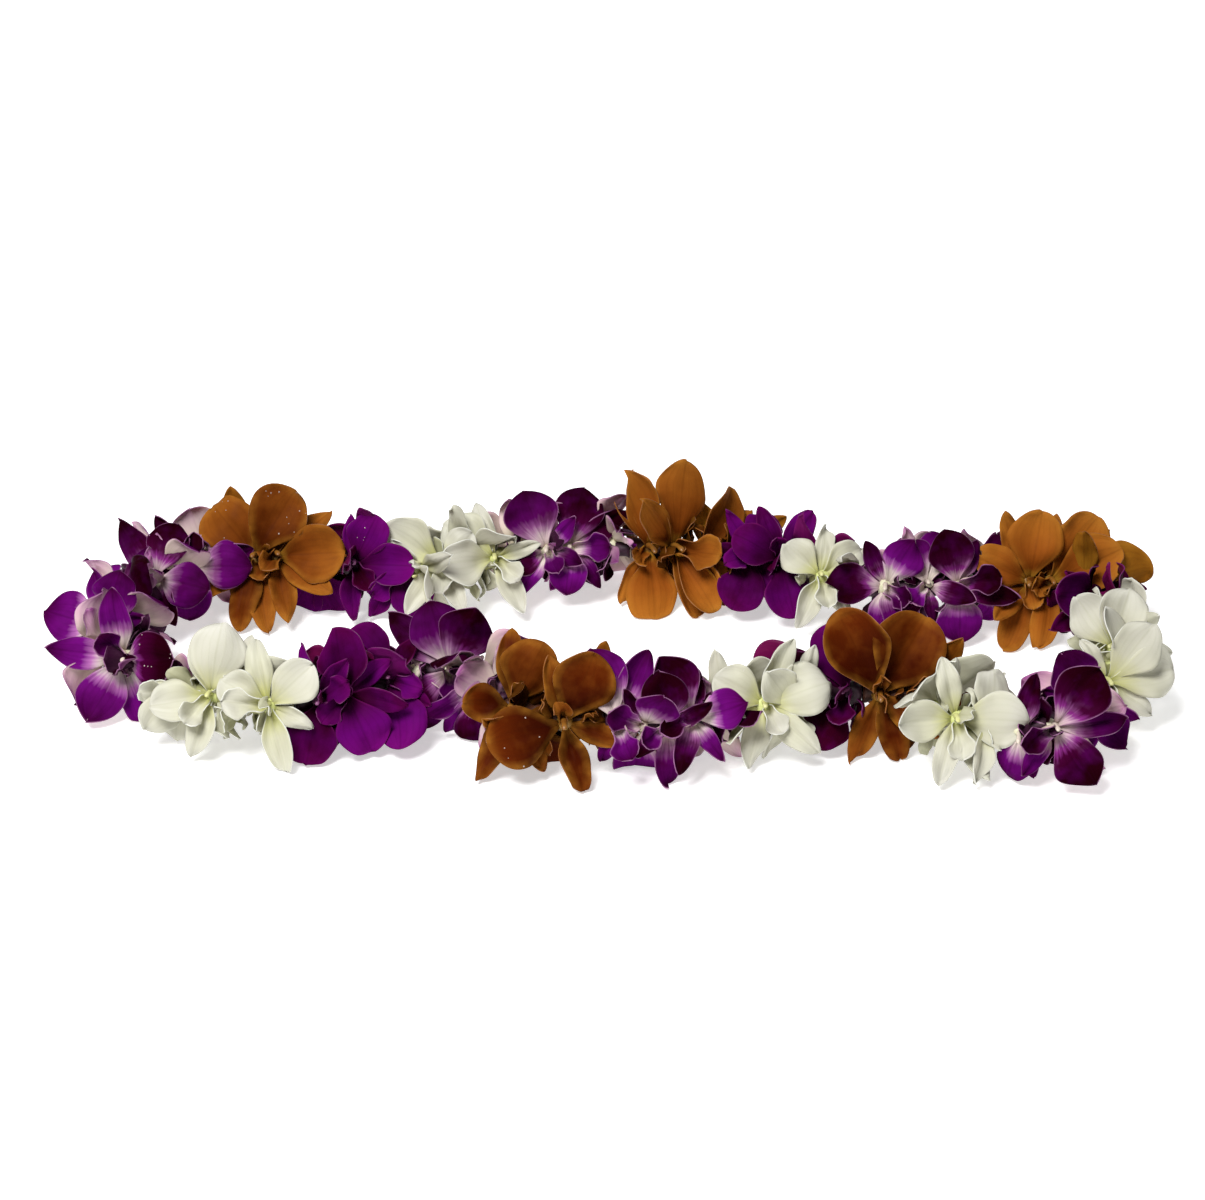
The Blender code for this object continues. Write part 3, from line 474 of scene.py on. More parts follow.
        (866, 8, 8, [(300, 30), (266, 8, 1.0), (350, 15, 0.8),
            (235, 5, 1.0), (200, 10, 1.0), (20, 15, 0.8)]),
        (875, 170, 35, 0),
        (885, 2, 34, [(285, 35), (106, 6, 1.05, 0.5), (68, 10, 1.05, 0.5),
            (138, 16, 1.3), (10, 20, 0.9), (222, 12, 1.25)]),
        (903, -10, 16, [(320, 30), (172, 10, 0.95), (268, 6, 1.0),
            (232, 4, 1.2), (305, 14), (100, 8, 0.9)]),
    ]),
    ("violet_5", "violet", 1.00, [
        (917, -4, 40, [(340, 35), (130, 8, 1.0), (285, 8, 1.05),
            (60, 0, 0.8), (200, 14, 0.9), (330, 18, 0.8)]),
        (927, 170, 20, 0),
        (936, 2, 30, [(230, 30), (100, 10, 1.1, 0.5), (292, 8, 1.0), (40, 8, 0.9), (250, 10), (350, 10)]),
        (948, -5, 24, [(30, 30), (176, 10, 0.85, 0.4), (262, 6, 1.05, 0.4),
            (115, 28, 1.2, 1.6), (60, 18, 0.9), (222, 8, 0.9)]),
    ]),
    ("white_6", "white", 1.00, [
        (968, 0, 32, [(172, 25, 1.2), (42, 8, 0.88), (150, 14, 0.8),
            (100, 0, 1.15), (282, -4, 1.2), (325, 5, 0.8)]),
        (981, 175, 20, 0),
        (992, -4, 36, [(230, 30), (80, 5, 1.12), (212, 10, 0.88), (110, 0), (315, 10, 0.9), (256, 5, 1.1)]),
        (1007, -10, 14, [(180, 30), (268, 10, 0.85), (232, 14, 0.75),
            (290, 4, 1.05), (180, 0, 0.6), (330, 10, 0.8)]),
    ]),
]
FACE_OFFSET = 0.0065
FORM_SEED = 1000


def section_ends():
    """Each section's first and last point along the thread: midway between two sections' blossoms."""
    first = [section[3][0][0] / 1000 for section in SECTIONS]
    last = [section[3][-1][0] / 1000 for section in SECTIONS]
    bounds = [(last[i - 1] + first[i]) / 2 for i in range(1, len(SECTIONS))]
    bounds.insert(0, (last[-1] - THREAD_LENGTH + first[0]) / 2)
    return list(zip(bounds, bounds[1:] + [bounds[0] + THREAD_LENGTH]))


def make_blossoms():
    """All blossoms in order along the thread, each as a dictionary with its place and its own frame."""
    blossoms = []
    for section, (name, kind, size, facings) in enumerate(SECTIONS):
        for i, (millimetres, turn, lift, posed) in enumerate(facings):
            distance = millimetres / 1000
            point, tangent = along(distance)
            poses = posed if isinstance(posed, list) else None
            roll = 0.0 if poses else math.radians(posed)
            turn, lift = math.radians(turn), math.radians(lift)
            facing = Vector((
                math.sin(turn) * math.cos(lift),
                -math.cos(turn) * math.cos(lift),
                math.sin(lift),
            ))
            across = facing - tangent * facing.dot(tangent)
            upright = (UP - facing * facing.z).normalized()
            right = upright.cross(facing)
            blossoms.append({
                "section": section,
                "node": name,
                "name": f"{name}_blossom_{i + 1}",
                "kind": kind,
                "size": size,
                "poses": poses,
                "thread_point": point,
                "before": point - tangent,
                "centre": point + across * FACE_OFFSET,
                "facing": facing,
                "up": upright * math.cos(roll) + right * math.sin(roll),
                "right": right * math.cos(roll) - upright * math.sin(roll),
                "random": random.Random(FORM_SEED + len(blossoms)),
            })
    return blossoms


blossoms = make_blossoms()

# The petals' places: each blossom has two broad petals, three narrow sepals and a lip. Each is bent
# as little as it must be to stay clear of its neighbours, because petals press each other aside. The
# same rule places the blades of the solids, so the petals drawn later lie where those do.
#
# A part gives its direction round the face (0 right, 90 up), length, half width, where along it is
# widest, how blunt its tip is (0.5 round, 1 pointed), lean forward near the root and at the tip in
# degrees, and how far it is rolled across, in radians.
LIP = ("lip", -90, 0.0170, 0.0062, 0.60, 0.7, 62, 20, 1.00)
PETALS = [
    ("petal_right", 22, 0.0290, 0.0114, 0.60, 0.55, 42, -6, 0.35),
    ("petal_left", 158, 0.0290, 0.0114, 0.60, 0.55, 42, -6, 0.35),
]
SEPALS = [
    ("sepal_top", 90, 0.0275, 0.0054, 0.50, 0.7, 30, 4, 0.40),
    ("sepal_left", 230, 0.0275, 0.0054, 0.46, 0.7, 30, 0, 0.40),
    ("sepal_right", 310, 0.0275, 0.0054, 0.46, 0.7, 30, 0, 0.40),
]
ORGANS = [LIP] + PETALS + SEPALS
PLAIN_ORGANS = PETALS + SEPALS[:1]
POSED_CURVE = 18
POSED_CALM = 0.4
PETAL_TIPS = {"bicolor": 0.86, "violet": 0.52, "white": 0.62, "amber": 0.54}
PETAL_ROWS = [0.28, 0.56, 0.84]
SEPAL_ROWS = [0.34, 0.70]
LIP_ROWS = [0.60]
ROOT_DEPTH = 0.004
ROOT_OUT = 0.0018
SEPAL_SETBACK = 0.0014
CLAW_SHARE = 0.16
CLAW_LEAN = 80
PETAL_CLAW_WIDTH = 0.10
SEPAL_CLAW_WIDTH = 0.16
RIB_STEPS = 16
BLADE_THICKNESS = 0.0010
TABLE_CLEARANCE = 0.0007
TAIL_CLEARANCE = 0.0012
CORE_CLEARANCE = 0.0004
CROSSING_COST = 120
SEARCH_MARGIN = 0.008
TRIAL_SPREAD = 1.04
TOWARDS_VIEWER = Vector((0, -0.85, 0.53))
CORE_RADIUS = 0.0050
CORE_END_RADIUS = 0.0044
CORE_GAP = 0.0008
KNOT_GAP = 0.0040
CORE_SIDES = 5


def petal_shape(blossom, organ):
    """The part's measures on this blossom, with the small differences that grown petals have. A pose
    gives direction and lean, and it may give size and roll too."""
    name, angle, length, half_width, widest, blunt, lean, tip_lean, roll = organ
    calm, size = 1.0, blossom["size"]
    if blossom["poses"]:
        pose = blossom["poses"][ORGANS.index(organ)]
        angle, lean, scale, roll = (*pose, *(1.0, roll)[len(pose) - 2:])
        lean, tip_lean, size, calm = lean + POSED_CURVE, lean - POSED_CURVE, size * scale, POSED_CALM
    vary = blossom["random"].uniform
    return {
        "name": name,
        "angle": angle + calm * vary(-7, 7),
        "length": length * size * vary(0.93, 1.05),
        "half_width": half_width * size * vary(0.92, 1.06),
        "widest": widest,
        "blunt": PETAL_TIPS[blossom["kind"]] if organ in PETALS else blunt,
        "lean": lean + calm * vary(-8, 8),
        "tip_lean": tip_lean + calm * vary(-16, 16),
        "roll": roll * vary(0.6, 1.4),
        "twist": vary(-0.30, 0.30),
        "wave": vary(0.0004, 0.0014),
        "phase": vary(0, 6.28),
    }


def rib_line(shape):
    """Points along the petal's rib: distance out, distance forward and lean, from root to tip."""
    out, forward = ROOT_OUT, -ROOT_DEPTH
    if shape["name"].startswith("sepal"):
        forward -= SEPAL_SETBACK
    step = shape["length"] / RIB_STEPS
    line = []
    for i in range(RIB_STEPS + 1):
        v = i / RIB_STEPS
        start = max(0.0, 1 - v / CLAW_SHARE) ** 2 * (CLAW_LEAN - shape["lean"])
        lean = math.radians(shape["lean"] + (shape["tip_lean"] - shape["lean"]) * v + start)
        line.append((out, forward, lean))
        out += step * math.cos(lean)
        forward += step * math.sin(lean)
    return line


def half_width(shape, v):
    """Half the petal's width at v: a narrow claw, a swelling and a round or pointed tip."""
    claw = PETAL_CLAW_WIDTH if shape["name"].startswith("petal") else SEPAL_CLAW_WIDTH
    widest = shape["widest"]
    if v < widest:
        return shape["half_width"] * (claw + (1 - claw) * math.sin(math.pi / 2 * v / widest) ** 2.0)
    over = (v - widest) / (1 - widest)
    return shape["half_width"] * max(0.0, 1 - over * over) ** shape["blunt"]


def petal_axes(blossom, shape, line, v):
    """The rib's point at v, with the petal's own sideways and upward directions there."""
    place = v * RIB_STEPS
    low = min(int(place), RIB_STEPS - 1)
    out, forward, lean = (a + (b - a) * (place - low) for a, b in zip(line[low], line[low + 1]))
    angle = math.radians(shape["angle"])
    outward = blossom["right"] * math.cos(angle) + blossom["up"] * math.sin(angle)
    facing = blossom["facing"]
    side = outward.cross(facing)
    normal = facing * math.cos(lean) - outward * math.sin(lean)
    twist = shape["twist"] * v
    turned_side = side * math.cos(twist) + normal * math.sin(twist)
    normal = normal * math.cos(twist) - side * math.sin(twist)
    return blossom["centre"] + outward * out + facing * forward, turned_side, normal


def coarse_point(blossom, shape, line, u, v, off=0.0):
    """A point of the petal's surface: v runs from root to tip and u from edge to edge, -1 to 1."""
    rib, side, normal = petal_axes(blossom, shape, line, v)
    width = half_width(shape, v)
    roll = shape["roll"]
    x = width * math.sin(roll * u) / roll
    height = width * (1 - math.cos(roll * u)) / roll
    height += shape["wave"] * math.sin(9 * v + shape["phase"] + (1.4 if u > 0 else 0)) * abs(u) ** 3 * v
    return rib + side * x + normal * (height + off)


def coarse_blade(blossom, shape, rows, thickness, spread=1.0):
    """The petal as a thin closed blade, thickest along its rib: its points and its triangles."""
    line = rib_line(shape)

    def rim(u, v):
        point = coarse_point(blossom, shape, line, u, v)
        point.z = max(point.z, 0.0)
        return point

    points = [rim(0, 0)]
    for v in rows:
        points.append(rim(-spread, v))
        points.append(rim(spread, v))
        top = coarse_point(blossom, shape, line, 0, v, thickness / 2)
        under = coarse_point(blossom, shape, line, 0, v, -thickness / 2)
        low, high = (top, under) if top.z < under.z else (under, top)
        low.z = max(low.z, 0.0)
        high.z = max(high.z, TABLE_CLEARANCE)
        points += [top, under]
    points.append(rim(0, 1))
    triangles = []
    for i in range(len(rows) + 1):
        for middle, flip in ((3, False), (4, True)):
            a, b = 4 * i - 4, 4 * i
            if i == 0:
                strip = [(0, b + middle, b + 1), (0, b + 2, b + middle)]
            elif i == len(rows):
                strip = [(a + 1, a + middle, b + 1), (a + middle, a + 2, b + 1)]
            else:
                strip = [
                    (a + 1, a + middle, b + middle),
                    (a + 1, b + middle, b + 1),
                    (a + middle, a + 2, b + middle),
                    (a + 2, b + 2, b + middle),
                ]
            triangles += [tuple(reversed(t)) for t in strip] if flip else strip
    return points, triangles


def bends():
    """Ways to bend a petal clear of its neighbours, the least first: cost, lean, turn and size."""
    found = []
    for lean in (0, 9, -9, 18, -18, 28, -28, 40, -40, 55, -55):
        for turn in (0, 8, -8, 16, -16, 26, -26):
            for size in (1.0, 0.88, 0.76, 0.64):
                cost = abs(lean) + abs(turn) + 140 * (1 - size)
                found.append((cost, lean, turn, size))
    return sorted(found)


BENDS = bends()


def bent(shape, lean, turn, size):
    """The petal leaned and turned further, in degrees, and made smaller."""
    shape = dict(shape)
    shape["lean"] += lean * 0.5
    shape["tip_lean"] += lean
    shape["angle"] += turn
    shape["length"] *= size
    shape["half_width"] *= size
    return shape


def box_of(points):
    """The lowest and the highest corner of the box round these points."""
    low = [min(p[k] for p in points) for k in range(3)]
    high = [max(p[k] for p in points) for k in range(3)]
    return low, high


def boxes_meet(a, b):
    return all(a[0][k] < b[1][k] and b[0][k] < a[1][k] for k in range(3))


def obstacle(section, points, triangles):
    """What a later petal must stay clear of: its section, its box and its faces as a search tree."""
    return section, box_of(points), BVHTree.FromPolygons(points, triangles)


def core_rings(section, extra):
    """The core's rings: one between every two blossoms, and a narrower one at each end."""
    start, end = section_ends()[section]
    here = [blossom[0] / 1000 for blossom in SECTIONS[section][3]]
    gap = [KNOT_GAP if section == side else CORE_GAP for side in (1, 0)]
    between = [((a + b) / 2, CORE_RADIUS + extra) for a, b in zip(here, here[1:])]
    first = (start + gap[0] / 2, CORE_END_RADIUS + extra)
    last = (end - gap[1] / 2, CORE_END_RADIUS + extra)
    return [first] + between + [last]


def core_obstacle(section):
    """The run of throats that the section's thread passes through."""
    rings = core_rings(section, CORE_CLEARANCE)
    points = []
    for distance, radius in rings:
        centre, tangent = along(distance)
        across = tangent.cross(UP).normalized()
        for k in range(CORE_SIDES):
            angle = 2 * math.pi * k / CORE_SIDES
            points.append(centre + across * math.cos(angle) * radius + UP * math.sin(angle) * radius)
    points += [along(rings[0][0])[0], along(rings[-1][0])[0]]
    triangles = []
    for i in range(len(rings) - 1):
        for k in range(CORE_SIDES):
            a, b = i * CORE_SIDES + k, i * CORE_SIDES + (k + 1) % CORE_SIDES
            triangles += [(a, b, a + CORE_SIDES), (b, b + CORE_SIDES, a + CORE_SIDES)]
    for k in range(CORE_SIDES):
        triangles.append((len(points) - 2, (k + 1) % CORE_SIDES, k))
        ring = (len(rings) - 1) * CORE_SIDES
        triangles.append((len(points) - 1, ring + k, ring + (k + 1) % CORE_SIDES))
    return obstacle(section, points, triangles)


def tail_obstacle(side):
    """The thread's cut end, as an upright ribbon."""
    path = tail_path(side, (0, 0.4, 0.75, 1))
    corners = [p + UP * off for p in path for off in (TAIL_CLEARANCE, -TAIL_CLEARANCE)]
    triangles = []
    for a in (0, 2, 4):
        triangles += [(a, a + 1, a + 2), (a + 1, a + 3, a + 2)]
    return obstacle(None, corners, triangles)


def place_petals(blossoms, obstacles):
    """Bends every petal clear of the other sections and, where it can, of its own section's petals.
    Blossoms seen from behind, which the photograph hides, get their lip and side sepals last of all."""
    order = sorted(blossoms, key=lambda b: -b["facing"].dot(TOWARDS_VIEWER) - b["size"])
    for blossom in order:
        blossom["petals"] = []
        for organ in ORGANS if blossom["poses"] else PLAIN_ORGANS:
            place_petal(blossom, organ, obstacles)
    for blossom in order:
        for organ in ORGANS:
            if not blossom["poses"] and organ not in PLAIN_ORGANS:
                place_petal(blossom, organ, obstacles)


def blade_rows(blossom, organ):
    """Where along the blade its rows of points are."""
    if organ is LIP:
        return LIP_ROWS
    return PETAL_ROWS if organ in PETALS and blossom["poses"] else SEPAL_ROWS


def place_petal(blossom, organ, obstacles):
    """Takes the least bend that touches no other section and crosses few petals of its own section.
    Where every bend touches another section, the petal is left out."""
    rows = blade_rows(blossom, organ)
    shape = petal_shape(blossom, organ)
    reach = Vector((1, 1, 1)) * (shape["length"] + SEARCH_MARGIN)
    near = box_of([blossom["centre"] - reach, blossom["centre"] + reach])
    others = [o for o in obstacles if boxes_meet(near, o[1])]
    best = None
    for cost, lean, turn, size in BENDS:
        if best and cost >= best[0]:
            break
        tried = bent(shape, lean, turn, size)
        points, triangles = coarse_blade(blossom, tried, rows, 2 * BLADE_THICKNESS, TRIAL_SPREAD)
        box = box_of(points)
        tree = BVHTree.FromPolygons(points, triangles)
        crossings = 0
        for section, other_box, other_tree in others:
            if not boxes_meet(box, other_box) or not tree.overlap(other_tree):
                continue
            if section != blossom["section"]:
                crossings = None
                break
            crossings += 1
        if crossings is None:
            continue
        if best is None or cost + CROSSING_COST * crossings < best[0]:
            best = (cost + CROSSING_COST * crossings, tried)
    if best:
        points, triangles = coarse_blade(blossom, best[1], rows, BLADE_THICKNESS)
        blossom["petals"].append(best[1])
        obstacles.append(obstacle(blossom["section"], points, triangles))
        best[1]["sheet"] = obstacles[-1]


cores = [core_obstacle(i) for i in range(len(SECTIONS))]
obstacles = [tail_obstacle(-1), tail_obstacle(1)] + cores
place_petals(blossoms, obstacles)

# A petal is a sheet of soft tissue, 0.4 mm thick, with a grooved rib and a wavy edge. One blank of
# squares is modelled, and each petal is a copy of it that is drawn into its own outline and bend. The
# open petals that are ready are kept in finished, and whatever is made later stops short of them.
BLANK_COLUMNS = 12
BLANK_ROWS = 18
PETAL_THICKNESS = 0.00042
RIB_GROOVE = 0.0005
RUFFLE = 0.0016
BUCKLE = 0.0022
LIP_WIDEST = 0.74
LIP_ROLL_AT_ROOT = 2.0
LIP_ROLL_IN_FRONT = 0.7
FLOOR_SOFTNESS = 3e-6
PRESSED_HEIGHT = 0.0012
CLEARING_EASE = 0.22
SHORTENING_EASE = 0.11
SHORTEST = 0.45
BLADE_RESERVE = 0.0004
BLADE_GIVE = 0.6
TUCKED_RESERVE = 0.0007
SHEET_GIVE = 0.96
TUCKED_START = 0.14
TUCKED_MARKS_FROM = 0.45
finished = []


def flat_blank(name, columns, rows):
    """A flat sheet of squares, from -1 to 1 both ways."""
    bpy.ops.mesh.primitive_grid_add(x_subdivisions=columns, y_subdivisions=rows, size=2)
    blank = bpy.context.object
    blank.name = name
    for face in blank.data.polygons:
        face.use_smooth = True
    return blank


petal_blank = flat_blank("petal_blank", BLANK_COLUMNS, BLANK_ROWS)


def fine_half_width(shape, v):
    """The lip has two side lobes that stand up round the column, a waist and a broad pointed front."""
    if shape["name"] != "lip":
        return half_width(shape, v)
    stops = [(0, 0.24), (0.28, 0.85), (0.48, 0.66), (0.70, 1.02), (0.86, 0.88), (0.95, 0.58), (1, 0.0)]
    for (v0, w0), (v1, w1) in zip(stops, stops[1:]):
        if v <= v1:
            t = (v - v0) / (v1 - v0)
            ease = t * t * (3 - 2 * t) if v1 < 1 else t
            return shape["half_width"] * (w0 + (w1 - w0) * ease)
    return 0.0


def fine_roll(shape, v):
    """How far the petal is rolled across, in radians. The lip's root is a gutter that opens in front."""
    if shape["name"] != "lip":
        return shape["roll"]
    opened = min(1.0, max(0.0, (v - 0.35) / 0.3))
    return LIP_ROLL_AT_ROOT + (LIP_ROLL_IN_FRONT - LIP_ROLL_AT_ROOT) * opened


def settle(z, floor):
    """Petals that would go through the table lie down on it in a soft curve."""
    over = z - floor
    return floor + (over + math.sqrt(over * over + FLOOR_SOFTNESS)) / 2


def grown_habit(vary):
    """How one petal has grown and been pressed: its fold, waves, curled tip and buckles."""
    return {
        "cup": vary(-1.3, 1.3),
        "fold": vary(-0.12, 0.5),
        "one_sided": vary(-0.7, 0.7),
        "ruffle": vary(0.3, 1.0) * RUFFLE,
        "pitch": vary(9, 17),
        "phase": vary(0, 6.28),
        "curl": vary(-0.0045, 0.0045),
        "skew": vary(-0.10, 0.10),
        "bulge": vary(0.02, 0.06),
        "patch": Vector((vary(0, 50), vary(0, 50), vary(0, 50))),
    }


def outline_share(habit, u, v):
    """The two halves of a petal differ a little, and their outlines swell and draw in."""
    side = 1.9 if u > 0 else 0.0
    lean = habit["skew"] if u > 0 else -habit["skew"]
    return 1 + lean + habit["bulge"] * math.sin(11 * v + habit["phase"] + side)


def petal_height(shape, habit, u, v, width, roll):
    """How far the petal's surface stands in front of the line of its rib."""
    side = 2.1 if u > 0 else 0.0
    cup = habit["cup"] if shape["name"] != "lip" else 1.0
    height = cup * width * (1 - math.cos(roll * u)) / roll
    height += habit["fold"] * width * abs(u) * (1 + habit["one_sided"] * u) * (1 - 0.6 * v)
    height += shape["wave"] * math.sin(9 * v + shape["phase"] + side * 0.7) * abs(u) ** 3 * v
    height += habit["ruffle"] * math.sin(habit["pitch"] * v + habit["phase"] + side) * u * u * v
    height -= RIB_GROOVE * math.exp(-(u / 0.13) ** 2) * math.sin(math.pi * min(1, v * 1.1))
    height += habit["curl"] * max(0.0, (v - 0.6) / 0.4) ** 2
    return height + BUCKLE * buckles.noise(Vector((1.3 * u, 2.6 * v, 0)) + habit["patch"]) * min(1, 3 * v)


def hold_clear(piece, starts, others, reserve, give):
    """Each point that would reach a neighbour on its way from its start stops short of it, and the
    points round it ease towards it. Reserve is the gap in metres, give the share of the way used."""
    shares = []
    for vertex, start in zip(piece.data.vertices, starts):
        span = vertex.co - start
        reach = max(span.length, 1e-6)
        share = 1.0
        for _, _, tree in others:
            hit = tree.ray_cast(start, span / reach, reach / give + reserve)
            if hit[0]:
                share = min(share, max(0.0, hit[3] - reserve) * give / reach)
        shares.append(share)
    for _ in range(3):
        for edge in piece.data.edges:
            a, b = edge.vertices
            shares[a] = min(shares[a], shares[b] + CLEARING_EASE)
            shares[b] = min(shares[b], shares[a] + CLEARING_EASE)
    for vertex, start, share in zip(piece.data.vertices, starts, shares):
        vertex.co = start.lerp(vertex.co, share)


def free_share(points, others):
    """How far along this line of points, as a share, the first petal is that crosses it."""
    for i in range(len(points) // 4, len(points) - 1):
        span = points[i + 1] - points[i]
        reach = max(span.length, 1e-6)
        hits = [tree.ray_cast(points[i], span / reach, reach)[3] for _, _, tree in others]
        hits = [hit for hit in hits if hit is not None]
        if hits:
            return max(SHORTEST, (i + min(hits) / reach - 0.7) / (len(points) - 1))
    return 1.0


def shorten(piece, lines, others):
    """Every line of points from root to tip ends short of a finished petal it would pass through."""
    data = piece.data.vertices
    courses = [[data[i].co.copy() for i in line] for line in lines]
    shares = [free_share(course, others) for course in courses]
    for _ in range(6):
        for a, b in zip(range(len(shares) - 1), range(1, len(shares))):
            shares[a] = min(shares[a], shares[b] + SHORTENING_EASE)
            shares[b] = min(shares[b], shares[a] + SHORTENING_EASE)
    for line, course, share in zip(lines, courses, shares):
        for row, i in enumerate(line):
            place = row * share
            low = min(int(place), len(line) - 2)
            data[i].co = course[low].lerp(course[low + 1], place - low)


def rounded_tip(u, v, widest, length):
    """Past its widest place the square blank is drawn into a round: the point's new places across and
    along, and how far it is from the tip's rim."""
    if v <= widest:
        return u, v, 1.0
    s = (v - widest) / (1 - widest)
    x, y = u * math.sqrt(1 - s * s / 2), s * math.sqrt(1 - u * u / 2)
    across = x / math.sqrt(1 - y * y) if y < 0.99999 else 0.0
    return across, widest + (1 - widest) * y, (1 - s) * (1 - widest) * length


def fine_petal(blank, blossom, shape, vary, tone, shade=1.0):
    """A copy of the blank as this petal, with what its finish needs to know at each point: how far it
    is across, along, from the rim and from the rib, and the petal's tone and painted shade."""
    piece = blank.copy()
    piece.data = blank.data.copy()
    bpy.context.scene.collection.objects.link(piece)
    line = rib_line(shape)
    habit = grown_habit(vary)
    floor = PETAL_THICKNESS * 0.5 + vary(0.0, PRESSED_HEIGHT)
    widest = shape["widest"] if shape["name"] != "lip" else LIP_WIDEST
    tucked = shape["name"] == "tucked"
    rib_root = petal_axes(blossom, shape, line, TUCKED_START)[0]
    values = {"across": [], "along": [], "inset": [], "middle": [], "tone": [], "shade": []}
    starts = []
    lines = {}
    for vertex in sorted(piece.data.vertices, key=lambda v: v.co.y):
        lines.setdefault(round(vertex.co.x, 4), []).append(vertex.index)
    for vertex in piece.data.vertices:
        flat_u = vertex.co.x
        u, v, inset_tip = rounded_tip(flat_u, (vertex.co.y + 1) / 2, widest, shape["length"])
        rib, side, normal = petal_axes(blossom, shape, line, v)
        width = fine_half_width(shape, v) * outline_share(habit, u, v)
        roll = fine_roll(shape, v)
        x = width * math.sin(roll * u) / roll
        point = rib + side * x + normal * petal_height(shape, habit, u, v, width, roll)
        point.z = settle(point.z, floor)
        vertex.co = point
        plain = rib_root if tucked else coarse_point(blossom, shape, line, u, v)
        starts.append(Vector((plain.x, plain.y, settle(plain.z, floor))))
        values["across"].append(u)
        values["along"].append(TUCKED_MARKS_FROM + (1 - TUCKED_MARKS_FROM) * v if tucked else v)
        values["inset"].append(1000 * min((1 - abs(flat_u)) * max(width, 0.001), inset_tip))
        values["middle"].append(1000 * abs(u) * width)
        values["tone"].append(tone)
        values["shade"].append(shade)
    for key, numbers in values.items():
        piece.data.attributes.new(key, "FLOAT", "POINT").data.foreach_set("value", numbers)
    near = box_of(starts + [vertex.co for vertex in piece.data.vertices])
    done = [o for o in finished if boxes_meet(near, o[1])]
    if tucked:
        hold_clear(piece, starts, done, TUCKED_RESERVE, SHEET_GIVE)
        return piece
    blades = [o for o in obstacles if o is not shape["sheet"] and o not in cores]
    hold_clear(piece, starts, [o for o in blades if boxes_meet(near, o[1])], BLADE_RESERVE, BLADE_GIVE)
    section = blossom["section"]
    shorten(piece, [lines[key] for key in sorted(lines)], [o for o in done if o[0] != section])
    points = [vertex.co.copy() for vertex in piece.data.vertices]
    finished.append(obstacle(section, points, [tuple(face.vertices) for face in piece.data.polygons]))
    return piece


# The open petals of every blossom, made first because all the rest is fitted in behind them. No two
# have quite the same colour: they differ by dye, by age and by how much of the tip is coloured.
#
# A petal's tone says where it lies between its kind's two colourings, 0 for the first and 1 for the
# second. A section has a middle tone that its petals spread round, and a few petals have one of their own.
PETAL_SEED = 5000
TONE_SPREADS = {"amber": 0.3, "bicolor": 0.7, "violet": 0.7, "white": 0.5}
SECTION_TONES = {
    "amber_1": 0.4,
    "amber_2": 0.75,
    "amber_3": 0.8,
    "amber_4": 0.15,
    "amber_5": 0.0,
    "violet_4": 1.0,
}
PETAL_TONES = {
    ("bicolor_1_blossom_2", "petal_right"): 1.6,
    ("bicolor_1_blossom_2", "petal_left"): 0.3,
    ("bicolor_1_blossom_2", "sepal_left"): 0.2,
}


def open_petals(blossom):
    """The blossom's lip, petals and sepals, each in a tone of its own."""
    middle_tone = SECTION_TONES.get(blossom["node"], 0.5)
    petals = []
    for shape in blossom["petals"]:
        tone = min(1.0, max(0.0, middle_tone + blossom["vary"](-1, 1) * TONE_SPREADS[blossom["kind"]]))
        tone = PETAL_TONES.get((blossom["name"], shape["name"]), tone)
        petals.append(fine_petal(petal_blank, blossom, shape, blossom["vary"], tone))
    return petals


for kind in ("white", "bicolor", "violet", "amber"):
    for blossom in blossoms:
        if blossom["kind"] == kind:
            blossom["vary"] = random.Random(PETAL_SEED + blossoms.index(blossom)).uniform
            count = len(finished)
            blossom["open"] = open_petals(blossom)
            blossom["own"] = finished[count:]


def give_thickness(piece, materials):
    """Solidify lays the back of the petals in the second material and their cut rim in the third."""
    piece.data.materials.clear()
    for material in materials:
        piece.data.materials.append(material)
    bpy.context.view_layer.objects.active = piece
    solidify = piece.modifiers.new("thickness", "SOLIDIFY")
    solidify.thickness = PETAL_THICKNESS
    solidify.offset = 0.0
    solidify.material_offset = 1
    solidify.material_offset_rim = 2
    bpy.ops.object.modifier_apply(modifier=solidify.name)


# In the middle of every blossom: the throat, a fleshy knob that the thread is drawn through, with the
# cut end of the flower's stalk behind it, and the column with its round cap in front. Each is drawn out
# of a disc, and its profile gives height and radius in metres.
THROAT_PROFILE = [
    (-0.0140, 0.0011), (-0.0120, 0.0011), (-0.0105, 0.0015), (-0.0090, 0.0028), (-0.0070, 0.0042),
    (-0.0045, 0.0041), (-0.0022, 0.0031), (-0.0012, 0.0018),
]
COLUMN_PROFILE = [
    (-0.0030, 0.0016), (0.0010, 0.0012), (0.0030, 0.0009), (0.0042, 0.0010), (0.0052, 0.0011),
    (0.0060, 0.0009), (0.0065, 0.0004),
]
PROFILE_SIDES = 12
KNOB_DEPTH = 0.0065
STALK_DEPTH = 0.0085
STALK_END = 0.02
STALK_CUT_SHORT = 0.0095
STALK_BEND = 26.0
STALK_LOWEST = 0.0008
COLUMN_LENGTH = 0.0080
COLUMN_GAP = 0.002
COLUMN_RISE = 0.0012
COLUMN_SAG = 45
INNER_RESERVE = 0.0005
SLEEVE_STEP = 0.0018
SLEEVE_SIDES = 14
SLEEVE_RADIUS = 0.0050
SLEEVE_LUMPS = 0.35
SLEEVE_SHORTER = -0.0002


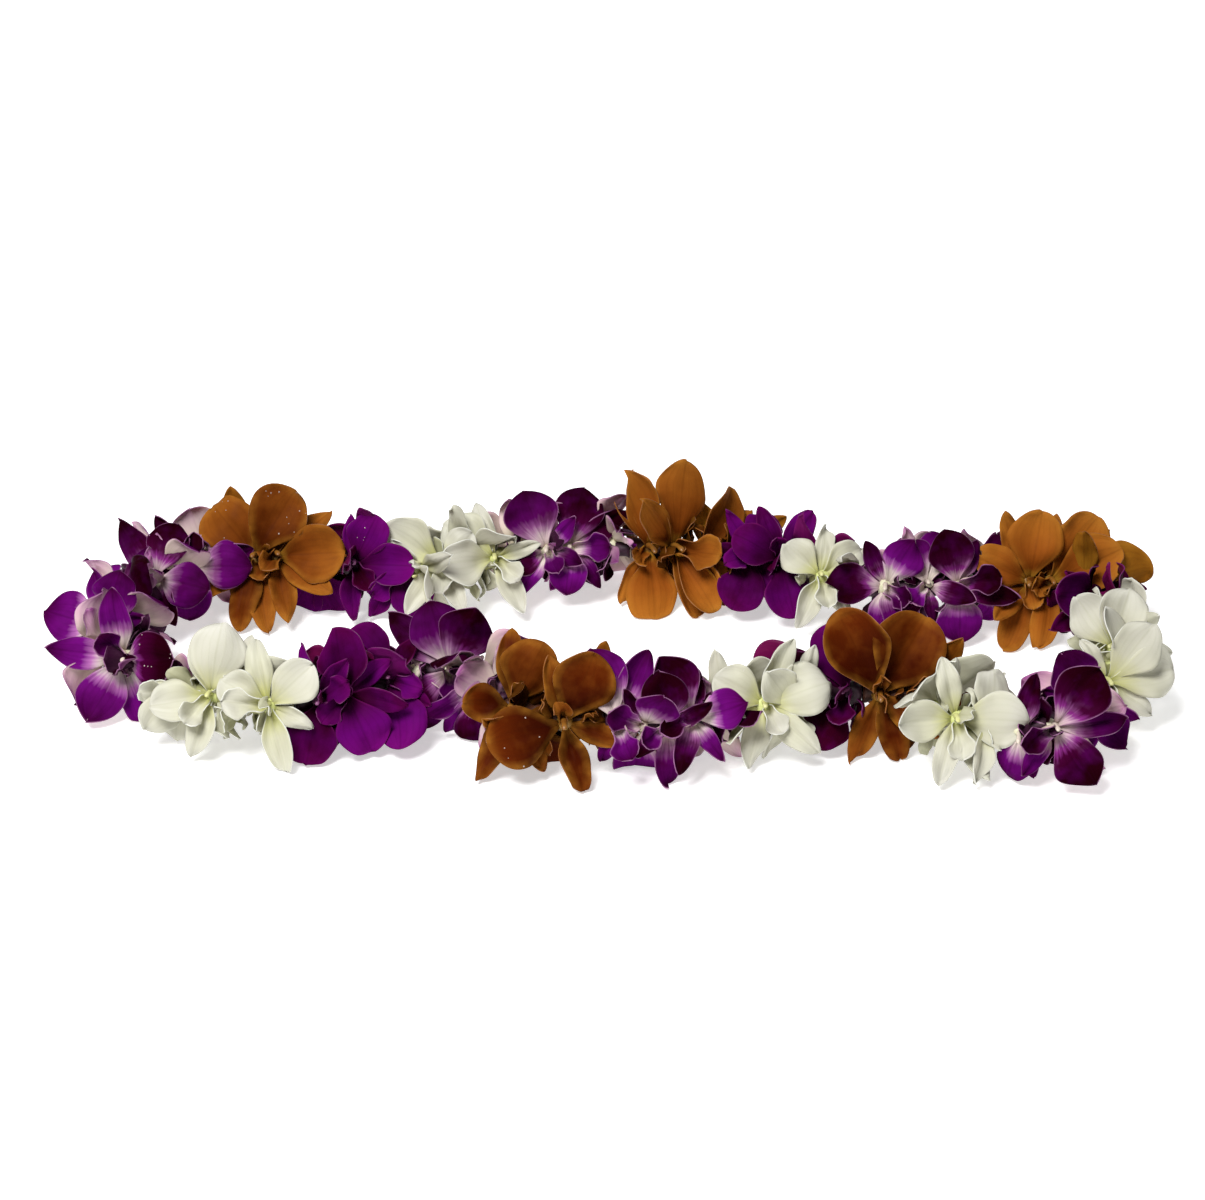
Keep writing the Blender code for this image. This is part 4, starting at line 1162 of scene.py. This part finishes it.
def turned(name, profile, sides):
    """A round form drawn out from a disc: each step is extruded and drawn in or out."""
    height, radius = profile[0]
    bpy.ops.mesh.primitive_circle_add(vertices=sides, radius=radius, fill_type="NGON", location=(0, 0, 0))
    piece = bpy.context.object
    piece.name = name
    bpy.ops.object.mode_set(mode="EDIT")
    bpy.ops.mesh.select_all(action="SELECT")
    bpy.ops.transform.translate(value=(0, 0, height))
    for next_height, next_radius in profile[1:]:
        bpy.ops.mesh.extrude_region_move(TRANSFORM_OT_translate={"value": (0, 0, next_height - height)})
        scale = next_radius / radius
        bpy.ops.transform.resize(value=(scale, scale, 1), center_override=(0, 0, next_height))
        height, radius = next_height, next_radius
    bpy.ops.mesh.select_all(action="SELECT")
    bpy.ops.mesh.normals_make_consistent(inside=False)
    bpy.ops.object.mode_set(mode="OBJECT")
    for face in piece.data.polygons:
        face.use_smooth = True
    return piece


throat_blank = turned("throat_blank", THROAT_PROFILE, PROFILE_SIDES)
column_blank = turned("column_blank", COLUMN_PROFILE, PROFILE_SIDES)


def nested_throats(section, material):
    """The run of throats pushed into one another: a lumpy sleeve along the section's thread, a cylinder
    that is cut across in short steps and laid round the route."""
    rings = core_rings(section, SLEEVE_SHORTER)
    first, last = rings[0][0], rings[-1][0]
    steps = round((last - first) / SLEEVE_STEP)
    bpy.ops.mesh.primitive_cylinder_add(vertices=SLEEVE_SIDES, radius=1, depth=1)
    sleeve = bpy.context.object
    sleeve.name = SECTIONS[section][0] + "_throats"
    bpy.ops.object.mode_set(mode="EDIT")
    bpy.ops.mesh.select_mode(type="EDGE")
    bpy.ops.mesh.select_all(action="DESELECT")
    bpy.ops.object.mode_set(mode="OBJECT")
    for edge in sleeve.data.edges:
        low, high = (sleeve.data.vertices[i].co.z for i in edge.vertices)
        edge.select = abs(high - low) > 0.5
    bpy.ops.object.mode_set(mode="EDIT")
    bpy.ops.mesh.subdivide(number_cuts=steps - 1)
    bpy.ops.object.mode_set(mode="OBJECT")
    starts = []
    for vertex in sleeve.data.vertices:
        share = vertex.co.z + 0.5
        distance = first + share * (last - first)
        centre, tangent = along(distance)
        level = tangent.cross(UP).normalized()
        lump = buckles.noise(Vector((vertex.co.x, vertex.co.y, distance * 260)) * 1.6)
        radius = SLEEVE_RADIUS * (0.95 + SLEEVE_LUMPS * lump)
        outward = level * vertex.co.x + UP * vertex.co.y
        starts.append(centre + outward * SLEEVE_RADIUS * 0.5)
        vertex.co = centre + outward * radius
    near = box_of([vertex.co for vertex in sleeve.data.vertices])
    others = [o for o in finished if boxes_meet(near, o[1])]
    hold_clear(sleeve, starts, others, INNER_RESERVE, SHEET_GIVE)
    for face in sleeve.data.polygons:
        face.use_smooth = len(face.vertices) < 5
    # Painted shade: the sleeve is coloured far darker than the throats, so the gaps read as shade.
    sleeve.data.materials.append(material)
    return sleeve


def copy_of(blank, material):
    """A copy of the blank with a mesh of its own."""
    piece = blank.copy()
    piece.data = blank.data.copy()
    piece.data.materials.clear()
    piece.data.materials.append(material)
    bpy.context.scene.collection.objects.link(piece)
    return piece


def petals_in_front(blossom, points):
    """The finished petals of other blossoms that are near these points."""
    near = box_of(points)
    others = [o for o in finished if not any(o is mine for mine in blossom["own"])]
    return [o for o in others if boxes_meet(near, o[1])]


def way_is_free(start, end, others):
    """True if the straight way from start to end crosses none of the others."""
    span = end - start
    return not any(tree.ray_cast(start, span.normalized(), span.length)[0] for _, _, tree in others)


def place_throat(blossom, vary, material):
    """The knob sits on the thread and opens towards the face. The stalk behind it droops to one side,
    and it is cut short where another blossom is in its way."""
    piece = copy_of(throat_blank, material)
    centre, facing = blossom["centre"], blossom["facing"]
    back = blossom["thread_point"] - facing * 0.0002
    droop = (blossom["up"] * vary(-1, 1) + blossom["right"] * vary(-1, 1)).normalized() * STALK_BEND
    others = [o for o in obstacles if o not in cores]
    free = way_is_free(back - facing * 0.002, back - facing * 0.009, others)
    deepest = -STALK_END if free else -STALK_CUT_SHORT
    starts = []
    for vertex in piece.data.vertices:
        x, y, z = vertex.co
        z = max(z, deepest)
        share = min(1.0, -z / KNOB_DEPTH)
        spine = centre.lerp(back, share) if z > -KNOB_DEPTH else back + facing * (z + KNOB_DEPTH)
        behind = max(0.0, -z - STALK_DEPTH)
        point = spine + blossom["right"] * x + blossom["up"] * y + droop * behind * behind
        point.z = max(point.z, STALK_LOWEST)
        starts.append(spine + droop * behind * behind)
        vertex.co = point
    hold_clear(piece, starts, petals_in_front(blossom, starts), INNER_RESERVE, SHEET_GIVE)
    return piece


def place_column(blossom, material):
    """The column leans out over the lip and stops short of any other blossom's petal."""
    piece = copy_of(column_blank, material)
    longest = COLUMN_LENGTH * blossom["size"]
    reach = Vector((1, 1, 1)) * longest
    others = petals_in_front(blossom, [blossom["centre"] - reach, blossom["centre"] + reach])
    for _, _, tree in others:
        hit = tree.ray_cast(blossom["centre"], blossom["facing"], longest + COLUMN_GAP)
        if hit[0]:
            longest = min(longest, max(0.0, hit[3] - COLUMN_GAP))
    for vertex in piece.data.vertices:
        x, y, z = vertex.co * blossom["size"]
        z = min(z, longest)
        sag = max(0.0, z) ** 2 * COLUMN_SAG
        place = blossom["centre"] + blossom["facing"] * z + blossom["right"] * x
        vertex.co = place + blossom["up"] * (y * 0.85 + COLUMN_RISE - sag)
    starts = [blossom["centre"]] * len(piece.data.vertices)
    hold_clear(piece, starts, others, INNER_RESERVE, SHEET_GIVE)
    return piece


# Threaded tight, the blossoms press one another's inner parts into a dense ruff round the thread: short
# torn and crumpled petals that close the gaps between the throats and stay behind the open petals.
#
# The looks give a kind's tone and shade. Shade is painted shade: the share of the petal's own colour
# that is left down in the gaps. About one tucked petal in four gets painted light instead: a lighter
# shade, as if it caught more light.
TUCKED_PETALS = 11
TUCKED_COLUMNS = 6
TUCKED_ROWS = 8
TUCKED_SPREAD = 0.0045
TUCKED_ORGAN = {"name": "tucked", "widest": 0.62, "blunt": 0.6, "roll": 0.5, "wave": 0.001}
TUCKED_LOOKS = {"amber": (0.1, 0.5), "bicolor": (1.0, 0.04), "violet": (1.0, 0.3), "white": (0.0, 0.7)}
LIT_SHARE = 0.25
LIT_SHADE = 0.85
tucked_blank = flat_blank("tucked_blank", TUCKED_COLUMNS, TUCKED_ROWS)


def fit_behind(frame_there, shape, others):
    """Shortens a tucked petal until its outer half touches no open petal; None if it never does."""
    for _ in range(4):
        line = rib_line(shape)
        root, tip = (coarse_point(frame_there, shape, line, 0, v) for v in (0.4, 1.0))
        sides = [coarse_point(frame_there, shape, line, u, 0.75) for u in (-1, 1)]
        if all(way_is_free(root, end, others) for end in [tip] + sides):
            return shape
        shape["length"] *= 0.8
        shape["half_width"] *= 0.9
    return None


def tucked_petals(blossom, vary):
    """Short petals that stand out from the thread all round, as the blossom's neighbours leave them."""
    tangent = (blossom["thread_point"] - blossom["before"]).normalized()
    reach = Vector((1, 1, 1)) * 0.02
    near = box_of([blossom["thread_point"] - reach, blossom["thread_point"] + reach])
    others = [o for o in obstacles if boxes_meet(near, o[1]) and o not in cores]
    made = []
    for i in range(TUCKED_PETALS):
        frame_there = {
            "section": blossom["section"],
            "centre": blossom["thread_point"] + tangent * vary(-TUCKED_SPREAD, TUCKED_SPREAD),
            "facing": tangent,
            "right": tangent.cross(UP).normalized(),
            "up": UP,
        }
        shape = dict(TUCKED_ORGAN)
        shape["angle"] = 360 * i / TUCKED_PETALS + vary(-25, 25)
        shape["length"] = vary(0.011, 0.020)
        shape["half_width"] = vary(0.0038, 0.0072)
        shape["lean"] = vary(-35, 35)
        shape["tip_lean"] = shape["lean"] + vary(-40, 40)
        shape["twist"] = vary(-0.9, 0.9)
        shape["phase"] = vary(0, 6.28)
        if fit_behind(frame_there, shape, others):
            # Painted shade, with a lighter painted shade on the share that catches more light.
            tone, shade = TUCKED_LOOKS[blossom["kind"]]
            if vary(0, 1) < LIT_SHARE:
                shade = LIT_SHADE
            made.append(fine_petal(tucked_blank, frame_there, shape, vary, tone, shade * vary(0.6, 1.0)))
    return made


# Drops of water lie on a few petals, as on flowers that are sprayed to keep them fresh: small flat
# beads, so many on each of the petals named here.
DEW = {
    ("amber_1_blossom_2", "petal_left"): 12,
    ("amber_1_blossom_2", "petal_right"): 9,
    ("bicolor_1_blossom_2", "petal_right"): 8,
    ("violet_1_blossom_2", "petal_right"): 4,
    ("amber_5_blossom_2", "petal_left"): 5,
}
SMALLEST_DROP = 0.00016
LARGEST_DROP = 0.00040
DROP_FLATNESS = 0.6


def dew_highlight_finish():
    """A drop of water as the picture shows it: a pale glint on the petal."""
    finish = bpy.data.materials.new("dew")
    finish.use_nodes = True
    tree = finish.node_tree
    shader = tree.nodes["Principled BSDF"]
    cloud = noise(tree, node(tree, "ShaderNodeTexCoord").outputs["Object"], 900.0, 1.0)
    # Painted highlight: the drop's pale colour stands in for the glint of clear water.
    color = blend_colors(tree, cloud, (0.30, 0.20, 0.16, 1), (0.60, 0.52, 0.48, 1))
    tree.links.new(color, shader.inputs["Base Color"])
    shader.inputs["Roughness"].default_value = 0.08
    return finish


def dew_drops(blossom, petal, count, vary):
    """Small flat drops that lie on a petal's face."""
    drops = []
    faces = petal.data.polygons
    for _ in range(count):
        face = faces[int(vary(0.35, 0.999) * len(faces))]
        normal = face.normal if face.normal.dot(blossom["facing"]) > 0 else -face.normal
        bpy.ops.mesh.primitive_uv_sphere_add(segments=8, ring_count=6, radius=1)
        drop = bpy.context.object
        radius = vary(SMALLEST_DROP, LARGEST_DROP)
        side = normal.orthogonal().normalized()
        over = normal.cross(side)
        spot = face.center + normal * PETAL_THICKNESS * 0.55
        for vertex in drop.data.vertices:
            x, y, z = vertex.co
            vertex.co = spot + (side * x + over * y + normal * z * DROP_FLATNESS) * radius
        for polygon in drop.data.polygons:
            polygon.use_smooth = True
        drop.data.materials.append(dew)
        drops.append(drop)
    return drops


dew = dew_highlight_finish()


# A whole blossom is one piece, as it grew: its petals with their thickness, its throat and its column,
# joined at the root of the flower. The blossoms of a section together take the place of its node.
def make_blossom(blossom, petal_materials, throat_material, column_material):
    """One blossom: dew is laid on its open petals, these and the tucked ones get their thickness, and
    then the throat and the column are joined to them."""
    vary = blossom["vary"]
    drops = []
    for petal, shape in zip(blossom["open"], blossom["petals"]):
        count = DEW.get((blossom["name"], shape["name"]), 0)
        drops += dew_drops(blossom, petal, count, vary)
    sheet = join_pieces(blossom["name"], blossom["open"] + tucked_petals(blossom, vary))
    give_thickness(sheet, petal_materials)
    throat = place_throat(blossom, vary, throat_material)
    column = place_column(blossom, column_material)
    piece = join_pieces(blossom["name"], [sheet, throat, column] + drops)
    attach(piece, "root")
    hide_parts(blossom["node"])
    return piece


# The white blossoms: ivory petals with faint lengthwise veins and a yellow-green throat. The skin of a
# petal and the flesh of a throat are built here in one way for all four kinds.


def petal_marks(tree):
    """The petal's own measures, as sockets: along, across, inset, middle, tone, shade and place."""
    marks = {}
    for key in ("along", "across", "inset", "middle", "tone", "shade"):
        marks[key] = node(tree, "ShaderNodeAttribute", attribute_name=key).outputs["Fac"]
    marks["place"] = node(tree, "ShaderNodeTexCoord").outputs["Object"]
    return marks


def color_stops(tree, value, stops):
    """A colour ramp of (place, red, green, blue) stops."""
    ramp = node(tree, "ShaderNodeValToRGB", {0: value})
    band = ramp.color_ramp
    while len(band.elements) < len(stops):
        band.elements.new(0.5)
    for element, (where, *rgb) in zip(band.elements, stops):
        element.position = where
        element.color = (*rgb, 1)
    return ramp.outputs["Color"]


def map_range(tree, value, low, high, at_low, at_high):
    """Runs from at_low to at_high while the value runs from low to high."""
    inputs = {0: value, 1: low, 2: high, 3: at_low, 4: at_high}
    return node(tree, "ShaderNodeMapRange", inputs).outputs[0]


def petal_finish(
    name, stops, other_stops, rim, vein, roughness, gloss,
    streak=0.12, vein_depth=0.2, edge_width=0.5, mottle=0.9, deep=(0.0, 0.0, 0.0),
):
    """Petal skin: two colourings from root to tip, blended petal by petal, streaked along the veins,
    with a rim, a rib line and fine cells in the bump. Deep is the colour of painted shade, which
    the shade attribute blends in for petals far down between others."""
    finish = bpy.data.materials.new(name)
    finish.use_nodes = True
    tree = finish.node_tree
    shader = tree.nodes["Principled BSDF"]
    marks = petal_marks(tree)
    fan = node(tree, "ShaderNodeCombineXYZ", {
        0: math_node(tree, "MULTIPLY", marks["across"], 7.0),
        1: math_node(tree, "MULTIPLY", marks["along"], 1.6),
        2: math_node(tree, "MULTIPLY", marks["tone"], 40.0),
    }).outputs[0]
    streaks = noise(tree, fan, 1.0, 3.0)
    cloud = noise(tree, marks["place"], 140.0, 2.0)
    shifted = math_node(tree, "MULTIPLY_ADD", streaks, streak, marks["along"])
    shifted = math_node(tree, "SUBTRACT", shifted, streak / 2)
    first = color_stops(tree, shifted, stops)
    second = color_stops(tree, shifted, other_stops)
    share = math_node(tree, "MULTIPLY_ADD", cloud, mottle, marks["tone"])
    share = math_node(tree, "SUBTRACT", share, mottle / 2, clamp=True)
    color = blend_colors(tree, share, first, second)
    across = math_node(tree, "MULTIPLY", marks["across"], 26.0)
    lines = math_node(tree, "SINE", math_node(tree, "MULTIPLY_ADD", streaks, 5.0, across))
    lines = math_node(tree, "MULTIPLY_ADD", lines, 0.5, 0.5, clamp=True)
    lines = math_node(tree, "POWER", lines, 4.0)
    faint = math_node(tree, "MULTIPLY", noise(tree, marks["place"], 220.0, 2.0), vein_depth)
    color = blend_colors(tree, math_node(tree, "MULTIPLY", lines, faint), color, (*vein, 1))
    rib = map_range(tree, marks["middle"], 0.12, 0.6, vein_depth, 0.0)
    color = blend_colors(tree, rib, color, (*vein, 1))
    edge = map_range(tree, marks["inset"], 0.05, edge_width, 1.0, 0.0)
    edge = math_node(tree, "MULTIPLY", edge, math_node(tree, "POWER", cloud, 2.0))
    color = blend_colors(tree, edge, color, (*rim, 1))
    # Painted shade: where the shade attribute is low, the deep colour takes the place of the petal's own.
    painted_shade = node(tree, "ShaderNodeRGB").outputs[0]
    painted_shade.default_value = (*deep, 1)
    color = blend_colors(tree, marks["shade"], painted_shade, color)
    tree.links.new(color, shader.inputs["Base Color"])
    shine = map_range(tree, cloud, 0.3, 0.7, roughness - 0.06, roughness + 0.08)
    tree.links.new(shine, shader.inputs["Roughness"])
    shader.inputs["Specular IOR Level"].default_value = gloss
    cells = noise(tree, marks["place"], 1500.0, 2.0)
    height = math_node(tree, "MULTIPLY_ADD", lines, 0.7, cells)
    bump = node(tree, "ShaderNodeBump", {"Height": height, "Strength": 0.35, "Distance": 0.00012})
    tree.links.new(bump.outputs[0], shader.inputs["Normal"])
    return finish


def flesh_finish(name, deep, light, roughness):
    """The fleshy throat, stalk and column: two tones in soft clouds."""
    finish = bpy.data.materials.new(name)
    finish.use_nodes = True
    tree = finish.node_tree
    shader = tree.nodes["Principled BSDF"]
    place = node(tree, "ShaderNodeTexCoord").outputs["Object"]
    cloud = noise(tree, place, 320.0, 2.0)
    color = blend_colors(tree, cloud, (*deep, 1), (*light, 1))
    tree.links.new(color, shader.inputs["Base Color"])
    shader.inputs["Roughness"].default_value = roughness
    cells = noise(tree, place, 1800.0, 2.0)
    bump = node(tree, "ShaderNodeBump", {"Height": cells, "Strength": 0.25, "Distance": 0.0001})
    tree.links.new(bump.outputs[0], shader.inputs["Normal"])
    return finish


def make_section_blossoms(kind, petal_materials, throat_material, column_material, painted_shade_material):
    """All blossoms of one kind; the sleeve of nested throats, coloured as painted shade, is joined to
    its section's first one.
    """
    for section, (name, section_kind, _, _) in enumerate(SECTIONS):
        if section_kind != kind:
            continue
        made = []
        for blossom in blossoms:
            if blossom["section"] == section:
                made.append(make_blossom(blossom, petal_materials, throat_material, column_material))
        join_pieces(made[0].name, [made[0], nested_throats(section, painted_shade_material)])


white_face = petal_finish(
    "white_petal_face",
    [
        (0.0, 0.32, 0.34, 0.05), (0.18, 0.46, 0.46, 0.16), (0.44, 0.52, 0.51, 0.36),
        (1.0, 0.55, 0.54, 0.45),
    ],
    [
        (0.0, 0.38, 0.38, 0.09), (0.18, 0.49, 0.48, 0.26), (0.44, 0.53, 0.515, 0.41),
        (1.0, 0.56, 0.545, 0.48),
    ],
    rim=(0.62, 0.61, 0.54), vein=(0.44, 0.435, 0.31), roughness=0.48, gloss=0.2, vein_depth=0.3,
    # deep is the painted shade of white petals far down in the gaps
    deep=(0.26, 0.26, 0.07),
)
white_back = petal_finish(
    "white_petal_back",
    [(0.0, 0.43, 0.43, 0.20), (0.25, 0.50, 0.49, 0.34), (1.0, 0.53, 0.52, 0.42)],
    [(0.0, 0.46, 0.45, 0.27), (0.25, 0.52, 0.50, 0.39), (1.0, 0.54, 0.52, 0.45)],
    rim=(0.60, 0.59, 0.52), vein=(0.43, 0.42, 0.30), roughness=0.5, gloss=0.2, vein_depth=0.3,
    # deep is the painted shade of white petal backs far down in the gaps
    deep=(0.24, 0.24, 0.06),
)
white_rim = flesh_finish("white_petal_rim", (0.66, 0.67, 0.58), (0.73, 0.73, 0.67), 0.5)
white_throat = flesh_finish("white_throat", (0.46, 0.52, 0.12), (0.70, 0.72, 0.34), 0.5)
white_column = flesh_finish("white_column", (0.55, 0.55, 0.14), (0.72, 0.71, 0.40), 0.4)
# Painted shade for the sleeve of nested throats, far darker than the throats themselves.
white_painted_shade = flesh_finish("white_painted_shade", (0.20, 0.21, 0.06), (0.46, 0.45, 0.20), 0.6)
make_section_blossoms(
    "white", [white_face, white_back, white_rim], white_throat, white_column, white_painted_shade
)

# The two-coloured blossoms: white at the root, violet from a third of the way, near black at the
# tips of some, with pale rims and lilac-white backs.
bicolor_face = petal_finish(
    "bicolor_petal_face",
    [
        (0.0, 0.62, 0.56, 0.43), (0.30, 0.66, 0.56, 0.53), (0.42, 0.40, 0.13, 0.38),
        (0.54, 0.140, 0.004, 0.165), (0.8, 0.092, 0.0018, 0.098), (1.0, 0.045, 0.0006, 0.028),
    ],
    [
        (0.0, 0.58, 0.50, 0.40), (0.20, 0.56, 0.38, 0.45), (0.31, 0.22, 0.026, 0.20),
        (0.43, 0.046, 0.0006, 0.024), (0.7, 0.017, 0.0002, 0.004), (1.0, 0.011, 0.0002, 0.0016),
    ],
    rim=(0.46, 0.18, 0.39), vein=(0.024, 0.0003, 0.012), roughness=0.46, gloss=0.004, streak=0.20,
    # deep is the painted shade of bicolor petals far down in the gaps
    deep=(0.012, 0.0002, 0.006),
)
bicolor_back = petal_finish(
    "bicolor_petal_back",
    [(0.0, 0.57, 0.53, 0.34), (0.45, 0.68, 0.57, 0.48), (0.8, 0.66, 0.48, 0.51), (1.0, 0.50, 0.20, 0.39)],
    [(0.0, 0.56, 0.50, 0.33), (0.45, 0.64, 0.48, 0.44), (0.75, 0.55, 0.28, 0.42), (1.0, 0.22, 0.02, 0.19)],
    rim=(0.56, 0.38, 0.46), vein=(0.42, 0.26, 0.31), roughness=0.5, gloss=0.08, streak=0.24,
    # deep is the painted shade of bicolor petal backs far down in the gaps
    deep=(0.022, 0.0008, 0.014),
)
bicolor_rim = flesh_finish("bicolor_petal_rim", (0.10, 0.005, 0.09), (0.42, 0.18, 0.34), 0.5)
bicolor_throat = flesh_finish("bicolor_throat", (0.60, 0.60, 0.32), (0.74, 0.70, 0.60), 0.5)
bicolor_column = flesh_finish("bicolor_column", (0.60, 0.46, 0.42), (0.72, 0.66, 0.52), 0.4)
# Painted shade for the sleeve of nested throats, far darker than the throats themselves.
bicolor_painted_shade = flesh_finish("bicolor_painted_shade", (0.012, 0.0005, 0.006), (0.05, 0.003, 0.03), 0.6)
make_section_blossoms(
    "bicolor", [bicolor_face, bicolor_back, bicolor_rim], bicolor_throat, bicolor_column, bicolor_painted_shade
)

# The violet blossoms: dyed all over, from violet to a dark maroon, with magenta where they are thin.
# The dye has reached their throats and columns too.
violet_face = petal_finish(
    "violet_petal_face",
    [
        (0.0, 0.026, 0.0005, 0.010), (0.25, 0.056, 0.001, 0.042), (0.6, 0.100, 0.0018, 0.112),
        (1.0, 0.135, 0.0025, 0.125),
    ],
    [
        (0.0, 0.010, 0.0002, 0.002), (0.3, 0.018, 0.0002, 0.004), (0.7, 0.028, 0.0003, 0.008),
        (1.0, 0.052, 0.0007, 0.020),
    ],
    rim=(0.20, 0.012, 0.13), vein=(0.022, 0.0003, 0.012), roughness=0.46, gloss=0.004, edge_width=1.0,
)
violet_back = petal_finish(
    "violet_petal_back",
    [(0.0, 0.07, 0.001, 0.035), (0.4, 0.125, 0.003, 0.090), (1.0, 0.170, 0.005, 0.130)],
    [(0.0, 0.04, 0.0006, 0.008), (0.4, 0.085, 0.001, 0.032), (1.0, 0.150, 0.003, 0.060)],
    rim=(0.26, 0.025, 0.18), vein=(0.055, 0.001, 0.035), roughness=0.5, gloss=0.08,
)
violet_rim = flesh_finish("violet_petal_rim", (0.06, 0.001, 0.05), (0.17, 0.008, 0.12), 0.5)
violet_throat = flesh_finish("violet_throat", (0.03, 0.001, 0.02), (0.12, 0.006, 0.08), 0.5)
violet_column = flesh_finish("violet_column", (0.12, 0.01, 0.09), (0.34, 0.12, 0.26), 0.4)
# Painted shade for the sleeve of nested throats, far darker than the throats themselves.
violet_painted_shade = flesh_finish("violet_painted_shade", (0.008, 0.0003, 0.003), (0.03, 0.001, 0.015), 0.6)
make_section_blossoms(
    "violet", [violet_face, violet_back, violet_rim], violet_throat, violet_column, violet_painted_shade
)

# The amber blossoms: larger and rounder, dyed golden to reddish brown, with golden rims, and with
# throats and columns in the same brown. The dark band from a fifth to half way along and the wide
# golden rims are partly the dye and partly painted shade in the cup and painted light on the edges.
# Partly dye, partly painted: a dark band of painted shade in the cup, wide rims of painted light.
amber_face = petal_finish(
    "amber_petal_face",
    [
        (0.0, 0.12, 0.036, 0.004), (0.2, 0.026, 0.0026, 0.0004), (0.5, 0.043, 0.0048, 0.0006),
        (0.8, 0.082, 0.0120, 0.0012), (1.0, 0.140, 0.029, 0.0030),
    ],
    [
        (0.0, 0.42, 0.25, 0.025), (0.2, 0.15, 0.033, 0.0030), (0.5, 0.28, 0.075, 0.0085),
        (0.8, 0.37, 0.119, 0.014), (1.0, 0.39, 0.138, 0.018),
    ],
    rim=(0.42, 0.178, 0.022), vein=(0.045, 0.0065, 0.0007), roughness=0.52, gloss=0.012,
    vein_depth=0.14, edge_width=4.5, mottle=0.5,
)
amber_back = petal_finish(
    "amber_petal_back",
    [(0.0, 0.22, 0.09, 0.008), (0.3, 0.080, 0.014, 0.0012), (1.0, 0.140, 0.030, 0.0026)],
    [(0.0, 0.44, 0.29, 0.032), (0.3, 0.37, 0.165, 0.014), (1.0, 0.34, 0.135, 0.012)],
    rim=(0.40, 0.17, 0.018), vein=(0.075, 0.013, 0.0010), roughness=0.54, gloss=0.012,
    vein_depth=0.2, edge_width=4.0, mottle=0.5,
)
amber_rim = flesh_finish("amber_petal_rim", (0.15, 0.035, 0.003), (0.34, 0.12, 0.010), 0.5)
amber_throat = flesh_finish("amber_throat", (0.16, 0.04, 0.006), (0.40, 0.24, 0.03), 0.5)
amber_column = flesh_finish("amber_column", (0.14, 0.03, 0.004), (0.32, 0.15, 0.018), 0.4)
# Painted shade for the sleeve of nested throats, far darker than the throats themselves.
amber_painted_shade = flesh_finish("amber_painted_shade", (0.020, 0.003, 0.0005), (0.08, 0.016, 0.0015), 0.6)
make_section_blossoms(
    "amber", [amber_face, amber_back, amber_rim], amber_throat, amber_column, amber_painted_shade
)

for blank in (petal_blank, tucked_blank, throat_blank, column_blank):
    bpy.data.objects.remove(blank)
